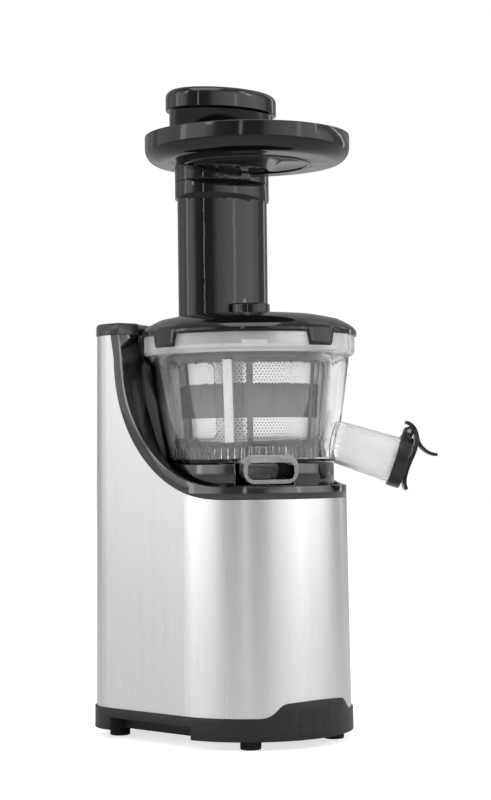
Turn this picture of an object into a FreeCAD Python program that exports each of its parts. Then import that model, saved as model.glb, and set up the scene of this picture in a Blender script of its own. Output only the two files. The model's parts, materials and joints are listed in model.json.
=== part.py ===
import FreeCAD, Part
import math
import os
import Sketcher

# Upright slow juicer, in millimetres. The origin is on the floor, under the axis of the bowl.
# The front faces -Y, the tall back column stands at +Y and +X is to the right of someone facing
# the back. Every size that can be set by itself is a row of the sheet below.

SIZES = {
    # Machine body, seen from above: a round front, sides that open slightly and round back corners
    "body_radius": 70.3,
    "body_draft": 0.0122,
    "flare_angle": 7.0,
    "body_rear": 100.0,
    "corner_radius": 28.0,
    "sheet_wall": 1.0,
    "shell_wall": 2.5,
    "seam": 0.25,
    "running_gap": 0.05,
    # Heights of the body
    "foot_height": 6.5,
    "foot_radius": 7.3,
    "foot_front_across": 38.5,
    "foot_front_ahead": 42.7,
    "foot_rear_across": 60.0,
    "foot_rear_behind": 79.0,
    "plinth_top": 22.3,
    "plinth_proud": 1.2,
    "arch_top": 33.0,
    "arch_half_width": 23.0,
    "arch_slope": 20.0,
    "grip_top": 15.5,
    "grip_depth": 14.0,
    "grip_front": -14.0,
    "grip_rear": 66.0,
    "cover_wall": 2.4,
    "column_top": 297.0,
    "column_seam": 288.4,
    # Sweep of the deck up into the column, in the side view
    "sweep_centre_back": -39.0,
    "sweep_centre_up": 271.3,
    "sweep_outer": 100.0,
    "sweep_inner": 91.5,
    "column_lean": 0.2,
    "nest_radius": 79.6,
    "nest_low_radius": 64.5,
    "nest_low_height": 200.0,
    "nest_high_height": 262.0,
    # Round seat for the bowl on the deck
    "seat_radius": 59.4,
    "seat_top": 196.1,
    # Bowl
    "bowl_low_radius": 59.4,
    "bowl_mid_radius": 65.7,
    "bowl_mid_height": 230.0,
    "bowl_high_radius": 71.2,
    "bowl_high_height": 272.0,
    "bowl_wall": 2.2,
    "bowl_floor": 2.5,
    "rim_radius": 75.0,
    "rim_top": 287.0,
    "rim_bore": 69.6,
    "hub_radius": 10.3,
    "hub_bore": 8.0,
    "hub_top": 206.0,
    # Juice spout and its cap
    "spout_heading": 50.0,
    "spout_slope": 18.0,
    "spout_height": 210.0,
    "spout_start": 55.0,
    "spout_reach": 105.8,
    "spout_root_radius": 15.0,
    "spout_end_radius": 16.6,
    "spout_wall": 2.2,
    "cap_ring_radius": 18.7,
    "cap_ring_length": 9.4,
    "cap_ring_overlap": 4.0,
    "flap_width": 20.0,
    "flap_wall": 2.4,
    "flap_hinge_up": 22.6,
    "flap_hinge_back": 5.2,
    "flap_pin_radius": 1.5,
    "plug_radius": 12.6,
    # Pulp outlet
    "outlet_heading": -30.0,
    "outlet_width": 37.7,
    "outlet_low": 182.0,
    "outlet_high": 201.5,
    "outlet_corner": 8.0,
    "outlet_reach": 79.5,
    "outlet_wall": 2.8,
    "drop_near": 21.0,
    "drop_far": 40.5,
    "drop_width": 17.0,
    # Gears in the bowl
    "bowl_module": 1.5,
    "sun_teeth": 20,
    "idler_teeth": 20,
    "ring_teeth": 60,
    "bowl_gear_low": 199.6,
    "bowl_gear_high": 206.0,
    "backlash": 0.16,
    "pressure_angle": 20.0,
    "idler_pin_radius": 3.0,
    # Brush cage, strainer and auger
    "cage_low_radius": 53.4,
    "cage_high_radius": 59.0,
    "cage_top": 275.0,
    "cage_wall": 2.0,
    "cage_window_low": 213.5,
    "cage_window_high": 266.0,
    "wiper_reach": 1.3,
    "strainer_low_radius": 47.0,
    "strainer_high_radius": 52.0,
    "strainer_floor": 207.0,
    "strainer_wall": 1.4,
    "band_low": 227.5,
    "band_high": 251.5,
    "lug_count": 4,
    "auger_low": 210.0,
    "auger_high": 281.0,
    "auger_core_low": 31.0,
    "auger_core_high": 17.0,
    "auger_pitch": 46.0,
    "auger_flight": 5.0,
    "auger_gap": 0.8,
    "auger_stub_radius": 6.0,
    # Lid and chute
    "lid_radius": 76.5,
    "lid_low": 285.4,
    "lid_wall": 2.4,
    "lid_top": 301.0,
    "boss_radius": 15.0,
    "boss_top": 309.5,
    "chute_back": 28.5,
    "chute_half_long": 36.5,
    "chute_half_short": 25.0,
    "chute_wall": 2.4,
    "chute_top": 401.0,
    "collar_low": 385.8,
    "collar_proud": 1.6,
    "tab_width": 23.0,
    "tab_low": 276.5,
    "tab_proud": 1.4,
    # Hopper tray and pusher
    "tray_radius": 73.0,
    "tray_rim": 429.0,
    "tray_low": 409.0,
    "tray_corner": 11.0,
    "tray_wall": 2.2,
    "tray_hub_low": 398.0,
    "pusher_half_long": 32.6,
    "pusher_half_short": 21.0,
    "pusher_low": 318.0,
    "pusher_wall": 2.5,
    "head_half_long": 45.0,
    "head_half_short": 31.0,
    "head_step_in": 2.6,
    "head_step": 448.5,
    "head_top": 463.5,
    # Drive in the body
    "deck_under": 171.3,
    "gearbox_radius": 58.0,
    "gearbox_back": 17.5,
    "gearbox_low": 124.0,
    "gearbox_wall": 3.0,
    "output_module": 1.25,
    "output_teeth": 56,
    "second_pinion_teeth": 14,
    "second_module": 1.0,
    "second_teeth": 50,
    "first_pinion_teeth": 14,
    "first_module": 0.8,
    "first_teeth": 48,
    "motor_pinion_teeth": 12,
    "second_heading": 90.0,
    "first_heading": -22.0,
    "motor_heading": 190.0,
    "output_low": 150.0,
    "output_high": 161.0,
    "second_low": 139.0,
    "second_high": 146.5,
    "first_low": 129.5,
    "first_high": 136.0,
    "shaft_radius": 7.0,
    "seal_radius": 13.0,
    "hex_flat": 5.2,
    "hex_low": 186.0,
    "shaft_top": 228.0,
    "axle_radius": 3.0,
    "motor_radius": 36.0,
    "motor_low": 44.0,
    "rotor_radius": 18.6,
    "rotor_gap": 0.5,
    "core_low": 62.0,
    "core_high": 100.0,
    "motor_shaft_radius": 3.0,
    "fan_radius": 28.0,
    # Back panel and controls
    "panel_half_width": 40.0,
    "switch_up": 70.0,
    "switch_half_width": 10.5,
    "switch_half_height": 15.0,
    "rocker_depth": 9.0,
    "inlet_up": 40.0,
    "inlet_radius": 8.0,
    "vent_half_width": 22.0,
    "vent_height": 3.0,
    "vent_low": 120.0,
    "vent_pitch": 7.0,
    "vent_count": 7,
}

doc = FreeCAD.newDocument("Juicer")
sheet = doc.addObject("Spreadsheet::Sheet", "sizes")
for row, (alias, number) in enumerate(SIZES.items(), start=1):
    sheet.set("A%d" % row, alias)
    sheet.set("B%d" % row, str(number))
    sheet.setAlias("B%d" % row, alias)
doc.recompute()

PARTS = []
ROOM = 130.0  # further out than any part of the body, for solids that only cut
V = FreeCAD.Vector
UP = V(0, 0, 1)
CENTRE = V(0, 0, 0)


def size(expression):
    """The value of an expression that is written with the names of the sheet."""
    found = sheet.evalExpression(spelled(expression))
    return float(getattr(found, "Value", found))


def spelled(expression):
    """Puts the sheet's name before each of its aliases in an expression."""
    words = []
    word = ""
    for letter in str(expression) + " ":
        if letter.isalnum() or letter == "_":
            word += letter
            continue
        words.append("sizes." + word if word in SIZES else word)
        words.append(letter)
        word = ""
    return "".join(words).strip()


def keep(feature, label):
    """Marks a finished object as one of the sub-parts, under the name of its file."""
    feature.Label = label
    PARTS.append(feature)
    return feature


def shaped(label, shape):
    """A sub-part whose form the standard features can't give, from a shape made in code."""
    feature = doc.addObject("Part::Feature", label + "_shape")
    feature.Shape = shape.removeSplitter() if shape.ShapeType != "Compound" else shape
    feature.Placement = shape.Placement
    return keep(feature, label)


# Small helpers for parametric features

def origin_plane(body, role):
    return [item for item in body.Origin.OriginFeatures if item.Role == role][0]


def profile(body, name, corners, role="XZ_Plane", height="0"):
    """A closed sketch with straight sides whose corners follow the sheet."""
    sketch = body.newObject("Sketcher::SketchObject", name)
    sketch.AttachmentSupport = [(origin_plane(body, role), "")]
    sketch.MapMode = "FlatFace"
    sketch.setExpression("AttachmentOffset.Base.z", spelled("(%s) * 1mm" % height))
    points = [V(size(across), size(up), 0) for across, up in corners]
    count = len(points)
    for index in range(count):
        sketch.addGeometry(Part.LineSegment(points[index], points[(index + 1) % count]))
    for index in range(count):
        sketch.addConstraint(Sketcher.Constraint("Coincident", index, 2, (index + 1) % count, 1))
    for index, (across, up) in enumerate(corners):
        for kind, expression, start in (("DistanceX", across, points[index].x),
                                        ("DistanceY", up, points[index].y)):
            rule = sketch.addConstraint(Sketcher.Constraint(kind, -1, 1, index, 1, start))
            sketch.setExpression("Constraints[%d]" % rule, spelled(expression))
    return sketch


def new_body(label):
    body = doc.addObject("PartDesign::Body", label + "_body")
    body.Label = label
    return body


def revolved(label, corners, save=True):
    """A body turned about the vertical axis from a profile of (radius, height) corners."""
    body = new_body(label)
    sketch = profile(body, label + "_profile", corners)
    turn = body.newObject("PartDesign::Revolution", label + "_turn")
    turn.Profile = sketch
    turn.ReferenceAxis = (sketch, ["V_Axis"])
    turn.Angle = 360.0
    doc.recompute()
    if save:
        keep(body, label)
    return body


def padded(label, corners, low, high, save=True):
    """A body with straight sides, padded up from a plan of (x, y) corners."""
    body = new_body(label)
    sketch = profile(body, label + "_plan", corners, "XY_Plane", low)
    pad = body.newObject("PartDesign::Pad", label + "_pad")
    pad.Profile = sketch
    pad.setExpression("Length", spelled("(%s) - (%s)" % (high, low)))
    doc.recompute()
    if save:
        keep(body, label)
    return body


def rounded(body, edges, radius, name):
    """Rounds the edges that a test picks out on a body."""
    fillet = body.newObject("PartDesign::Fillet", name)
    chosen = ["Edge%d" % (index + 1) for index, edge in enumerate(body.Tip.Shape.Edges) if edges(edge)]
    fillet.Base = (fillet.BaseFeature or body.Tip, chosen)
    fillet.setExpression("Radius", spelled(radius))
    doc.recompute()
    return fillet


def cylinder(name, radius, low, high, across="0", behind="0"):
    """An upright round bar, placed by the sheet."""
    bar = doc.addObject("Part::Cylinder", name)
    bar.setExpression("Radius", spelled(radius))
    bar.setExpression("Height", spelled("(%s) - (%s)" % (high, low)))
    bar.setExpression("Placement.Base.x", spelled(across))
    bar.setExpression("Placement.Base.y", spelled(behind))
    bar.setExpression("Placement.Base.z", spelled(low))
    return bar


def block(name, x_range, y_range, z_range):
    """A box between pairs of limits, placed by the sheet."""
    solid = doc.addObject("Part::Box", name)
    for axis, side, (low, high) in (("x", "Length", x_range), ("y", "Width", y_range),
                                    ("z", "Height", z_range)):
        solid.setExpression(side, spelled("(%s) - (%s)" % (high, low)))
        solid.setExpression("Placement.Base." + axis, spelled(low))
    return solid


def cut(name, base, tool):
    result = doc.addObject("Part::Cut", name)
    result.Base = base
    result.Tool = tool
    return result


def fused(name, solids):
    result = doc.addObject("Part::MultiFuse", name)
    result.Shapes = solids
    return result


def shared(name, solids):
    result = doc.addObject("Part::MultiCommon", name)
    result.Shapes = solids
    return result


# Plan of the machine body: a solid that follows the draft, at any offset from the sheet metal

def mirrored(point):
    return V(-point.x, point.y, 0)


def plan_solid(name, offset, low, high):
    """The body's plan, moved out by the offset, from one height to another."""
    body = new_body(name)
    sketch = body.newObject("Sketcher::SketchObject", name + "_plan")
    sketch.AttachmentSupport = [(origin_plane(body, "XY_Plane"), "")]
    sketch.MapMode = "FlatFace"
    sketch.setExpression("AttachmentOffset.Base.z", spelled("(%s) * 1mm" % low))
    shrink = "(%s) * body_draft" % low
    front = "(body_radius + (%s) - %s)" % (offset, shrink)
    back = "(body_rear + (%s) - %s)" % (offset, shrink)
    corner = "(corner_radius + (%s) - %s)" % (offset, shrink)
    r_front, y_back, r_corner = size(front), size(back), size(corner)
    flare = math.radians(size("flare_angle"))
    side_out = V(math.cos(flare), -math.sin(flare), 0)
    tangent = side_out * r_front
    y_corner = y_back - r_corner
    x_corner = (r_front - r_corner + math.sin(flare) * y_corner) / math.cos(flare)
    corner_centre = V(x_corner, y_corner, 0)
    side_end = corner_centre + side_out * r_corner
    turn = -flare
    front_arc = Part.ArcOfCircle(Part.Circle(CENTRE, UP, r_front), math.pi - turn, 2 * math.pi + turn)
    right_corner = Part.ArcOfCircle(Part.Circle(corner_centre, UP, r_corner), turn, math.pi / 2)
    left_corner = Part.ArcOfCircle(Part.Circle(mirrored(corner_centre), UP, r_corner), math.pi / 2,
                                   math.pi - turn)
    pieces = [front_arc, Part.LineSegment(tangent, side_end), right_corner,
              Part.LineSegment(V(x_corner, y_back, 0), V(-x_corner, y_back, 0)), left_corner,
              Part.LineSegment(mirrored(side_end), mirrored(tangent))]
    for piece in pieces:
        sketch.addGeometry(piece)
    add = sketch.addConstraint
    add(Sketcher.Constraint("Coincident", 0, 3, -1, 1))
    for first, end, second, start in ((0, 2, 1, 1), (1, 2, 2, 1), (2, 2, 3, 1), (3, 2, 4, 1),
                                      (4, 2, 5, 1), (5, 2, 0, 1)):
        add(Sketcher.Constraint("Tangent", first, end, second, start))
    add(Sketcher.Constraint("Symmetric", 2, 3, 4, 3, -2))
    add(Sketcher.Constraint("Equal", 2, 4))
    for kind, args, expression in (
            ("Radius", (0, r_front), front),
            ("Radius", (2, r_corner), corner),
            ("DistanceY", (-1, 1, 3, 1, y_back), back)):
        rule = add(Sketcher.Constraint(kind, *args))
        sketch.setExpression("Constraints[%d]" % rule, spelled(expression))
    rule = add(Sketcher.Constraint("Angle", 1, math.pi / 2 - flare))
    sketch.setExpression("Constraints[%d]" % rule, spelled("(90 - flare_angle) * 1deg"))
    pad = body.newObject("PartDesign::Pad", name + "_pad")
    pad.Profile = sketch
    pad.setExpression("Length", spelled("(%s) - (%s)" % (high, low)))
    pad.setExpression("TaperAngle", spelled("-atan(body_draft)"))
    doc.recompute()
    return body


def half_width(y, z, offset=0.0):
    """Half the width of the body's plan beside its straight sides."""
    flare = math.radians(size("flare_angle"))
    front = size("body_radius") + offset - z * size("body_draft")
    return front / math.cos(flare) + y * math.tan(flare)


def side_prism(outline):
    """A solid that runs from side to side with an outline of (y, z) edges."""
    solid = Part.Face(Part.Wire(outline)).extrude(V(2 * ROOM, 0, 0))
    solid.translate(V(-ROOM, 0, 0))
    return solid


# Sweep of the trim, in the side view

def above_sweep(radius, top):
    """Everything above a curve of that radius, which runs along the deck and up the column."""
    centre = V(0, size("sweep_centre_back"), size("sweep_centre_up"))
    front = V(0, -ROOM, centre.z - radius)
    low = V(0, centre.y, centre.z - radius)
    back = V(0, centre.y + radius, centre.z)
    middle = centre + V(0, math.sqrt(0.5), -math.sqrt(0.5)) * radius
    high = V(0, back.y + (top - back.z) * size("column_lean"), top)
    corner = V(0, front.y, top)
    return side_prism([Part.LineSegment(front, low).toShape(),
                                Part.Arc(low, middle, back).toShape(),
                                Part.LineSegment(back, high).toShape(),
                                Part.LineSegment(high, corner).toShape(),
                                Part.LineSegment(corner, front).toShape()])


def turned(points):
    """A solid turned about the vertical axis from (radius, height) points."""
    corners = [V(radius, 0, height) for radius, height in points]
    wire = Part.makePolygon(corners + [corners[0]])
    return Part.Face(wire).revolve(CENTRE, UP, 360)


def oval(half_long, half_short, low, high, back=0.0):
    """An upright oval bar, long across the machine."""
    ellipse = Part.Ellipse(V(0, back, low), half_long, half_short)
    return Part.Face(Part.Wire([ellipse.toShape()])).extrude(V(0, 0, high - low))


def heading(angle):
    """Direction in the floor plane: 0 is straight ahead, positive turns to the right."""
    return V(math.sin(math.radians(angle)), -math.cos(math.radians(angle)), 0)


def laid(shape, angle):
    """Turns a shape that was drawn pointing along +X to a heading."""
    turn = FreeCAD.Placement(CENTRE, FreeCAD.Rotation(UP, angle - 90))
    return shape.transformed(turn.toMatrix(), True)


def solid_of(feature):
    doc.recompute()
    return feature.Shape.copy()


WRAP_LOW = size("plinth_top - 2")
SEAM = size("seam")
TOP = size("column_seam")
outer_plan = solid_of(plan_solid("plan_outer", "0", "0", "column_seam"))
wrap_inner_plan = solid_of(plan_solid("plan_wrap_inner", "-sheet_wall", "0", "column_seam"))
inside_plan = solid_of(plan_solid("plan_inside", "-sheet_wall - seam", "0", "column_seam"))
skin_plan = solid_of(plan_solid("plan_skin", "-sheet_wall - seam - shell_wall", "0", "column_seam"))


def band(low, high):
    """A slab of space between two heights."""
    return Part.makeBox(2 * ROOM, 2 * ROOM, high - low, V(-ROOM, -ROOM, low))


# Sheet-metal wrap: front and both sides, up to the sweep, open at the back for the panel
BACK = size("body_rear - corner_radius")
panel_half = size("panel_half_width")
wrap = outer_plan.cut(wrap_inner_plan).common(band(WRAP_LOW, TOP))
wrap = wrap.cut(above_sweep(size("sweep_outer") + SEAM, TOP + 1))
wrap = wrap.cut(Part.makeBox(2 * panel_half, ROOM, TOP, V(-panel_half, BACK, 0)))
shaped("metal_wrap", wrap)

# Back panel: moulded plate between the two ends of the wrap, with the switch and the cord inlet
rear = size("body_rear")
half = panel_half - SEAM
panel = outer_plan.cut(skin_plan).common(band(WRAP_LOW, TOP))
panel = panel.common(Part.makeBox(2 * half, ROOM, TOP, V(-half, BACK, 0)))
switch_w, switch_h = size("switch_half_width"), size("switch_half_height")
switch_z, inlet_z = size("switch_up"), size("inlet_up")
panel = panel.cut(Part.makeBox(2 * switch_w, ROOM, 2 * switch_h, V(-switch_w, BACK, switch_z - switch_h)))
panel = panel.cut(Part.makeCylinder(size("inlet_radius"), ROOM, V(0, BACK, inlet_z), V(0, 1, 0)))
vent_w, vent_h = size("vent_half_width"), size("vent_height")
for slot in range(int(size("vent_count"))):
    vent_z = size("vent_low") + slot * size("vent_pitch")
    panel = panel.cut(Part.makeBox(2 * vent_w, ROOM, vent_h, V(-vent_w, BACK, vent_z)))
shaped("back_panel", panel)

# Deck and column front: a band that sweeps up, and the nest behind the bowl
DECK_TOP = size("deck_under + sweep_outer - sweep_inner")
nest = [(0, DECK_TOP), (size("nest_low_radius"), DECK_TOP),
        (size("nest_low_radius"), size("nest_low_height")),
        (size("nest_radius"), size("nest_high_height")),
        (size("nest_radius"), TOP + 20), (0, TOP + 20)]
skin = size("shell_wall")
nest_out = [(0, DECK_TOP - skin), (nest[1][0] + skin, DECK_TOP - skin), (nest[2][0] + skin, nest[2][1]),
            (nest[3][0] + skin, nest[3][1]), (nest[4][0] + skin, TOP), (0, TOP)]
above_outer = above_sweep(size("sweep_outer"), TOP)
above_inner = above_sweep(size("sweep_inner"), TOP + 30)
slab = outer_plan.common(above_outer).cut(above_inner)
nest_wall = turned(nest_out).cut(above_outer).common(inside_plan)
housing = slab.fuse(nest_wall).cut(turned(nest)).cut(above_inner)
bore = Part.makeCylinder(size("seal_radius"), ROOM, V(0, 0, DECK_TOP - 2 * skin))
housing = housing.cut(bore)
shaped("deck_and_column", housing)

# Column cap
cap_plan = solid_of(plan_solid("plan_cap", "0.7", "column_seam + seam", "column_top"))
front_y = size("sweep_centre_back + sweep_inner + (column_seam - sweep_centre_up) * column_lean")
cap_front = Part.makeBox(2 * ROOM, ROOM + front_y, ROOM, V(-ROOM, -ROOM, TOP - 1))
cap = cap_plan.cut(cap_front).cut(Part.makeCylinder(size("nest_radius"), ROOM, V(0, 0, TOP - 1)))
top_edges = [edge for edge in cap.Edges if edge.BoundBox.ZMin > size("column_top") - 0.01
             and edge.Length > 8]
cap = cap.makeFillet(2.5, top_edges)
shaped("column_cap", cap)

# Plinth: proud of the metal, with an arched front and a grip under each side
plinth_out = solid_of(plan_solid("plan_plinth", "plinth_proud", "foot_height", "arch_top + 2"))
lip_in = solid_of(plan_solid("plan_lip", "seam", "foot_height", "arch_top + 3"))
plinth_in = solid_of(plan_solid("plan_plinth_in", "-shell_wall", "foot_height - 1", "arch_top + 4"))
ring = plinth_out.cut(plinth_in).cut(lip_in.common(band(WRAP_LOW - SEAM, 60)))
arch_half, arch_run = size("arch_half_width"), size("arch_slope")
low_z, high_z = size("plinth_top"), size("arch_top")
arch_edges = [
    V(-ROOM, 0, low_z), V(-arch_half - arch_run, 0, low_z), V(-arch_half, 0, high_z - 1.0),
    V(arch_half, 0, high_z - 1.0), V(arch_half + arch_run, 0, low_z), V(ROOM, 0, low_z)]
bend = V(arch_run * 0.45, 0, 0)


def curl(first, second, third, fourth):
    curve = Part.BezierCurve()
    curve.setPoles([first, second, third, fourth])
    return curve.toShape()


crown = V(0, 0, high_z)
arch_wire = Part.Wire([
    Part.LineSegment(arch_edges[0], arch_edges[1]).toShape(),
    curl(arch_edges[1], arch_edges[1] + bend * 1.4, arch_edges[2] - bend, arch_edges[2]),
    Part.Arc(arch_edges[2], crown, arch_edges[3]).toShape(),
    curl(arch_edges[3], arch_edges[3] + bend, arch_edges[4] - bend * 1.4, arch_edges[4]),
    Part.LineSegment(arch_edges[4], arch_edges[5]).toShape(),
    Part.LineSegment(arch_edges[5], V(ROOM, 0, ROOM)).toShape(),
    Part.LineSegment(V(ROOM, 0, ROOM), V(-ROOM, 0, ROOM)).toShape(),
    Part.LineSegment(V(-ROOM, 0, ROOM), arch_edges[0]).toShape()])
above_arch = Part.Face(arch_wire).extrude(V(0, -ROOM, 0))
behind_arch = Part.makeBox(2 * ROOM, ROOM, ROOM, V(-ROOM, 0, low_z))
plinth = ring.cut(above_arch).cut(behind_arch)
grips = []
for side in (-1, 1):
    mid_y = size("(grip_front + grip_rear) / 2")
    inner_x = half_width(mid_y, 0) - size("grip_depth")
    wall_box = Part.makeBox(60, size("grip_rear - grip_front"), size("grip_top"),
                            V(0, size("grip_front"), 0))
    wall_box.rotate(V(0, mid_y, 0), UP, -size("flare_angle"))
    wall_box.translate(V(inner_x, 0, 0))
    pocket_wall = Part.makeBox(60, size("grip_rear - grip_front + 2 * shell_wall"),
                               size("grip_top + shell_wall"),
                               V(0, size("grip_front - shell_wall"), 0))
    pocket_wall.rotate(V(0, mid_y, 0), UP, -size("flare_angle"))
    pocket_wall.translate(V(inner_x - size("shell_wall"), 0, 0))
    if side < 0:
        wall_box = wall_box.mirror(CENTRE, V(1, 0, 0))
        pocket_wall = pocket_wall.mirror(CENTRE, V(1, 0, 0))
    grips.append((wall_box, pocket_wall))
for wall_box, pocket_wall in grips:
    pocket = pocket_wall.common(plinth_out).common(band(size("foot_height"), 60))
    plinth = plinth.fuse(pocket).cut(wall_box)
shaped("plinth", plinth)

# Bottom cover with vent slots, the rubber feet and the cover screws
cover_low = size("foot_height")
cover_high = size("foot_height + cover_wall")
bottom = solid_of(plan_solid("plan_cover", "-shell_wall - seam", "foot_height", "foot_height + cover_wall"))
for wall_box, pocket_wall in grips:
    clear = pocket_wall.copy()
    clear.translate(V(-SEAM if clear.BoundBox.Center.x > 0 else SEAM, 0, 0))
    bottom = bottom.cut(clear)
feet_at = []
for side in (-1, 1):
    feet_at.append(V(side * size("foot_front_across"), -size("foot_front_ahead"), 0))
    feet_at.append(V(side * size("foot_rear_across"), size("foot_rear_behind"), 0))
stem = 3.0
screws_at = [V(side * 22.0, y, 0) for side in (-1, 1) for y in (-44.0, 78.0)]
for place in feet_at:
    bottom = bottom.cut(Part.makeCylinder(stem, 10, V(place.x, place.y, cover_low - 1)))
for place in screws_at:
    bottom = bottom.cut(Part.makeCylinder(1.7, 10, V(place.x, place.y, cover_low - 1)))
for slot in range(9):
    bottom = bottom.cut(Part.makeBox(44, 2.5, 10, V(-22, slot * 6.0 - 14, cover_low - 1)))
shaped("bottom_cover", bottom)
feet = []
for place in feet_at:
    pad = Part.makeCylinder(size("foot_radius"), cover_low, V(place.x, place.y, 0))
    pad = pad.makeFillet(1.0, [edge for edge in pad.Edges if edge.BoundBox.ZMax < 0.1])
    feet.append(pad.fuse(Part.makeCylinder(stem - 0.1, size("cover_wall") + 1.5,
                                           V(place.x, place.y, cover_low))).removeSplitter())
shaped("rubber_feet", Part.Compound(feet))
screws = []
for place in screws_at:
    shank = Part.makeCylinder(1.5, 12, V(place.x, place.y, cover_low - 1.6))
    screw_head = Part.makeCylinder(3.0, 1.6, V(place.x, place.y, cover_low - 1.6))
    screws.append(shank.fuse(screw_head).removeSplitter())
shaped("cover_screws", Part.Compound(screws))

# Round seat that the bowl locks onto
seat = revolved("seat_blank", [
    ("seal_radius", "seat_top - shell_wall"), ("seat_radius - shell_wall", "seat_top - shell_wall"),
    ("seat_radius - shell_wall", "deck_under + sweep_outer - sweep_inner"),
    ("seat_radius", "deck_under + sweep_outer - sweep_inner"), ("seat_radius", "seat_top - 1"),
    ("seat_radius - 1", "seat_top"), ("seal_radius", "seat_top")], save=False)
outlet_angle = size("outlet_heading")
channel = Part.makeBox(80, size("outlet_width") + 3, 40,
                       V(14, -size("outlet_width") / 2 - 1.5, size("outlet_low") - 1.5))
shaped("bowl_seat", solid_of(seat).cut(laid(channel, outlet_angle)))

# Gears. A spur gear has involute flanks, and its first tooth points along a chosen angle

def involute(base, radius):
    """The angle that an involute of a base circle has turned through at a radius."""
    pressure = math.acos(min(1.0, base / max(radius, base)))
    return math.tan(pressure) - pressure


def tooth_flank(module, teeth, radius, inward=False):
    """Half the angle of a tooth at a radius, with the backlash taken off."""
    pitch = module * teeth / 2.0
    base = pitch * math.cos(math.radians(size("pressure_angle")))
    half = math.pi / (2 * teeth) - size("backlash") / (2 * pitch)
    growth = involute(base, radius) - involute(base, pitch)
    return half + growth if inward else half - growth


def gear_wire(module, teeth, first_angle, height, inner=False):
    """Outline of a spur gear, or of the space inside a ring gear."""
    pitch = module * teeth / 2.0
    tip = pitch + (1.15 if inner else 0.95) * module
    root = pitch - (0.95 if inner else 1.2) * module
    points = []
    radii = [root + (tip - root) * step / 4.0 for step in range(5)]
    for tooth in range(teeth):
        middle = math.radians(first_angle) + 2 * math.pi * (tooth + (0.5 if inner else 0)) / teeth
        shape = []
        for radius in radii:
            half = tooth_flank(module, teeth, radius, inner)
            if inner:
                half = math.pi / teeth - half
            shape.append((radius, half))
        points += [(radius, middle - half) for radius, half in shape]
        points += [(radius, middle + half) for radius, half in reversed(shape)]
    corners = [V(radius * math.cos(angle), radius * math.sin(angle), height) for radius, angle in points]
    return Part.makePolygon(corners + [corners[0]])


def spur(module, teeth, first_angle, low, high, centre=CENTRE):
    """A solid spur gear at its place."""
    wire = gear_wire(module, teeth, first_angle, low)
    solid = Part.Face(wire).extrude(V(0, 0, high - low))
    solid.translate(V(centre.x, centre.y, 0))
    return solid


def meshed_angle(teeth, first_angle, own_teeth, direction):
    """Angle of a gear's first tooth so that it meshes with another along a direction."""
    along = ((direction - first_angle) * teeth / 360.0) % 1.0
    return direction + 180 - (0.5 - along) * 360.0 / own_teeth


def polar(centre, distance, angle):
    return V(centre.x + distance * math.cos(math.radians(angle)),
             centre.y + distance * math.sin(math.radians(angle)), 0)


# Reduction gears between the motor and the drive shaft
run = size("running_gap")
snug = 0.01
axle = size("axle_radius")
out_teeth, pin2_teeth = int(size("output_teeth")), int(size("second_pinion_teeth"))
big2_teeth, pin1_teeth = int(size("second_teeth")), int(size("first_pinion_teeth"))
big1_teeth, pin0_teeth = int(size("first_teeth")), int(size("motor_pinion_teeth"))
mod_out, mod2, mod1 = size("output_module"), size("second_module"), size("first_module")
second_at = polar(CENTRE, mod_out * (out_teeth + pin2_teeth) / 2, size("second_heading"))
first_at = polar(second_at, mod2 * (big2_teeth + pin1_teeth) / 2, size("first_heading"))
motor_at = polar(first_at, mod1 * (big1_teeth + pin0_teeth) / 2, size("motor_heading"))
pin2_angle = meshed_angle(out_teeth, 0, pin2_teeth, size("second_heading"))
pin1_angle = meshed_angle(big2_teeth, 0, pin1_teeth, size("first_heading"))
pin0_angle = meshed_angle(big1_teeth, 0, pin0_teeth, size("motor_heading"))
gear_floor = size("gearbox_low + 4")
box_roof = size("deck_under - 4")
out_low, out_high = size("output_low"), size("output_high")
shaft_r = size("shaft_radius")
output = spur(mod_out, out_teeth, 0, out_low, out_high)
output = output.cut(Part.makeCylinder(shaft_r + snug, ROOM, V(0, 0, 100)))
for hole in range(6):
    at = polar(CENTRE, 21.0, hole * 60 + 30)
    output = output.cut(Part.makeCylinder(6.0, 60, V(at.x, at.y, 120)))
shaped("output_gear", output)
flat = size("hex_flat")


def hexagon_wire(half_flat):
    """A hexagon about the axis, from half its width across flats."""
    corner_radius = half_flat / math.cos(math.pi / 6)
    return Part.makePolygon([polar(CENTRE, corner_radius, corner * 60) for corner in range(7)])


hex_low = size("hex_low")
hex_bar = Part.Face(hexagon_wire(flat)).extrude(V(0, 0, size("shaft_top") - hex_low))
hex_bar.translate(V(0, 0, hex_low))
shaft_low = gear_floor - 3
drive = Part.makeCylinder(shaft_r, hex_low - shaft_low, V(0, 0, shaft_low)).fuse(hex_bar)
top_edges = [edge for edge in drive.Edges if edge.BoundBox.ZMin > size("shaft_top") - 0.1]
drive = drive.makeChamfer(0.8, top_edges)
shaped("drive_shaft", drive)


def compound_gear(label, centre, pinion, wheel):
    """A pinion and a wheel in one moulding, running on an axle."""
    shaped(label, pinion.fuse(wheel).cut(Part.makeCylinder(axle + run, 2 * ROOM, centre)))


low2, high2 = size("second_low"), size("second_high")
low1, high1 = size("first_low"), size("first_high")
compound_gear("second_gear", second_at,
              spur(mod_out, pin2_teeth, pin2_angle, high2, out_high + 1, second_at),
              spur(mod2, big2_teeth, 0, low2, high2, second_at))
compound_gear("first_gear", first_at,
              spur(mod2, pin1_teeth, pin1_angle, high1, high2 + 1, first_at),
              spur(mod1, big1_teeth, 0, low1, high1, first_at))
axles = []
for place in (second_at, first_at):
    axles.append(Part.makeCylinder(axle, box_roof + 2.5 - shaft_low, V(place.x, place.y, shaft_low)))
shaped("gear_axles", Part.Compound(axles))

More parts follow.
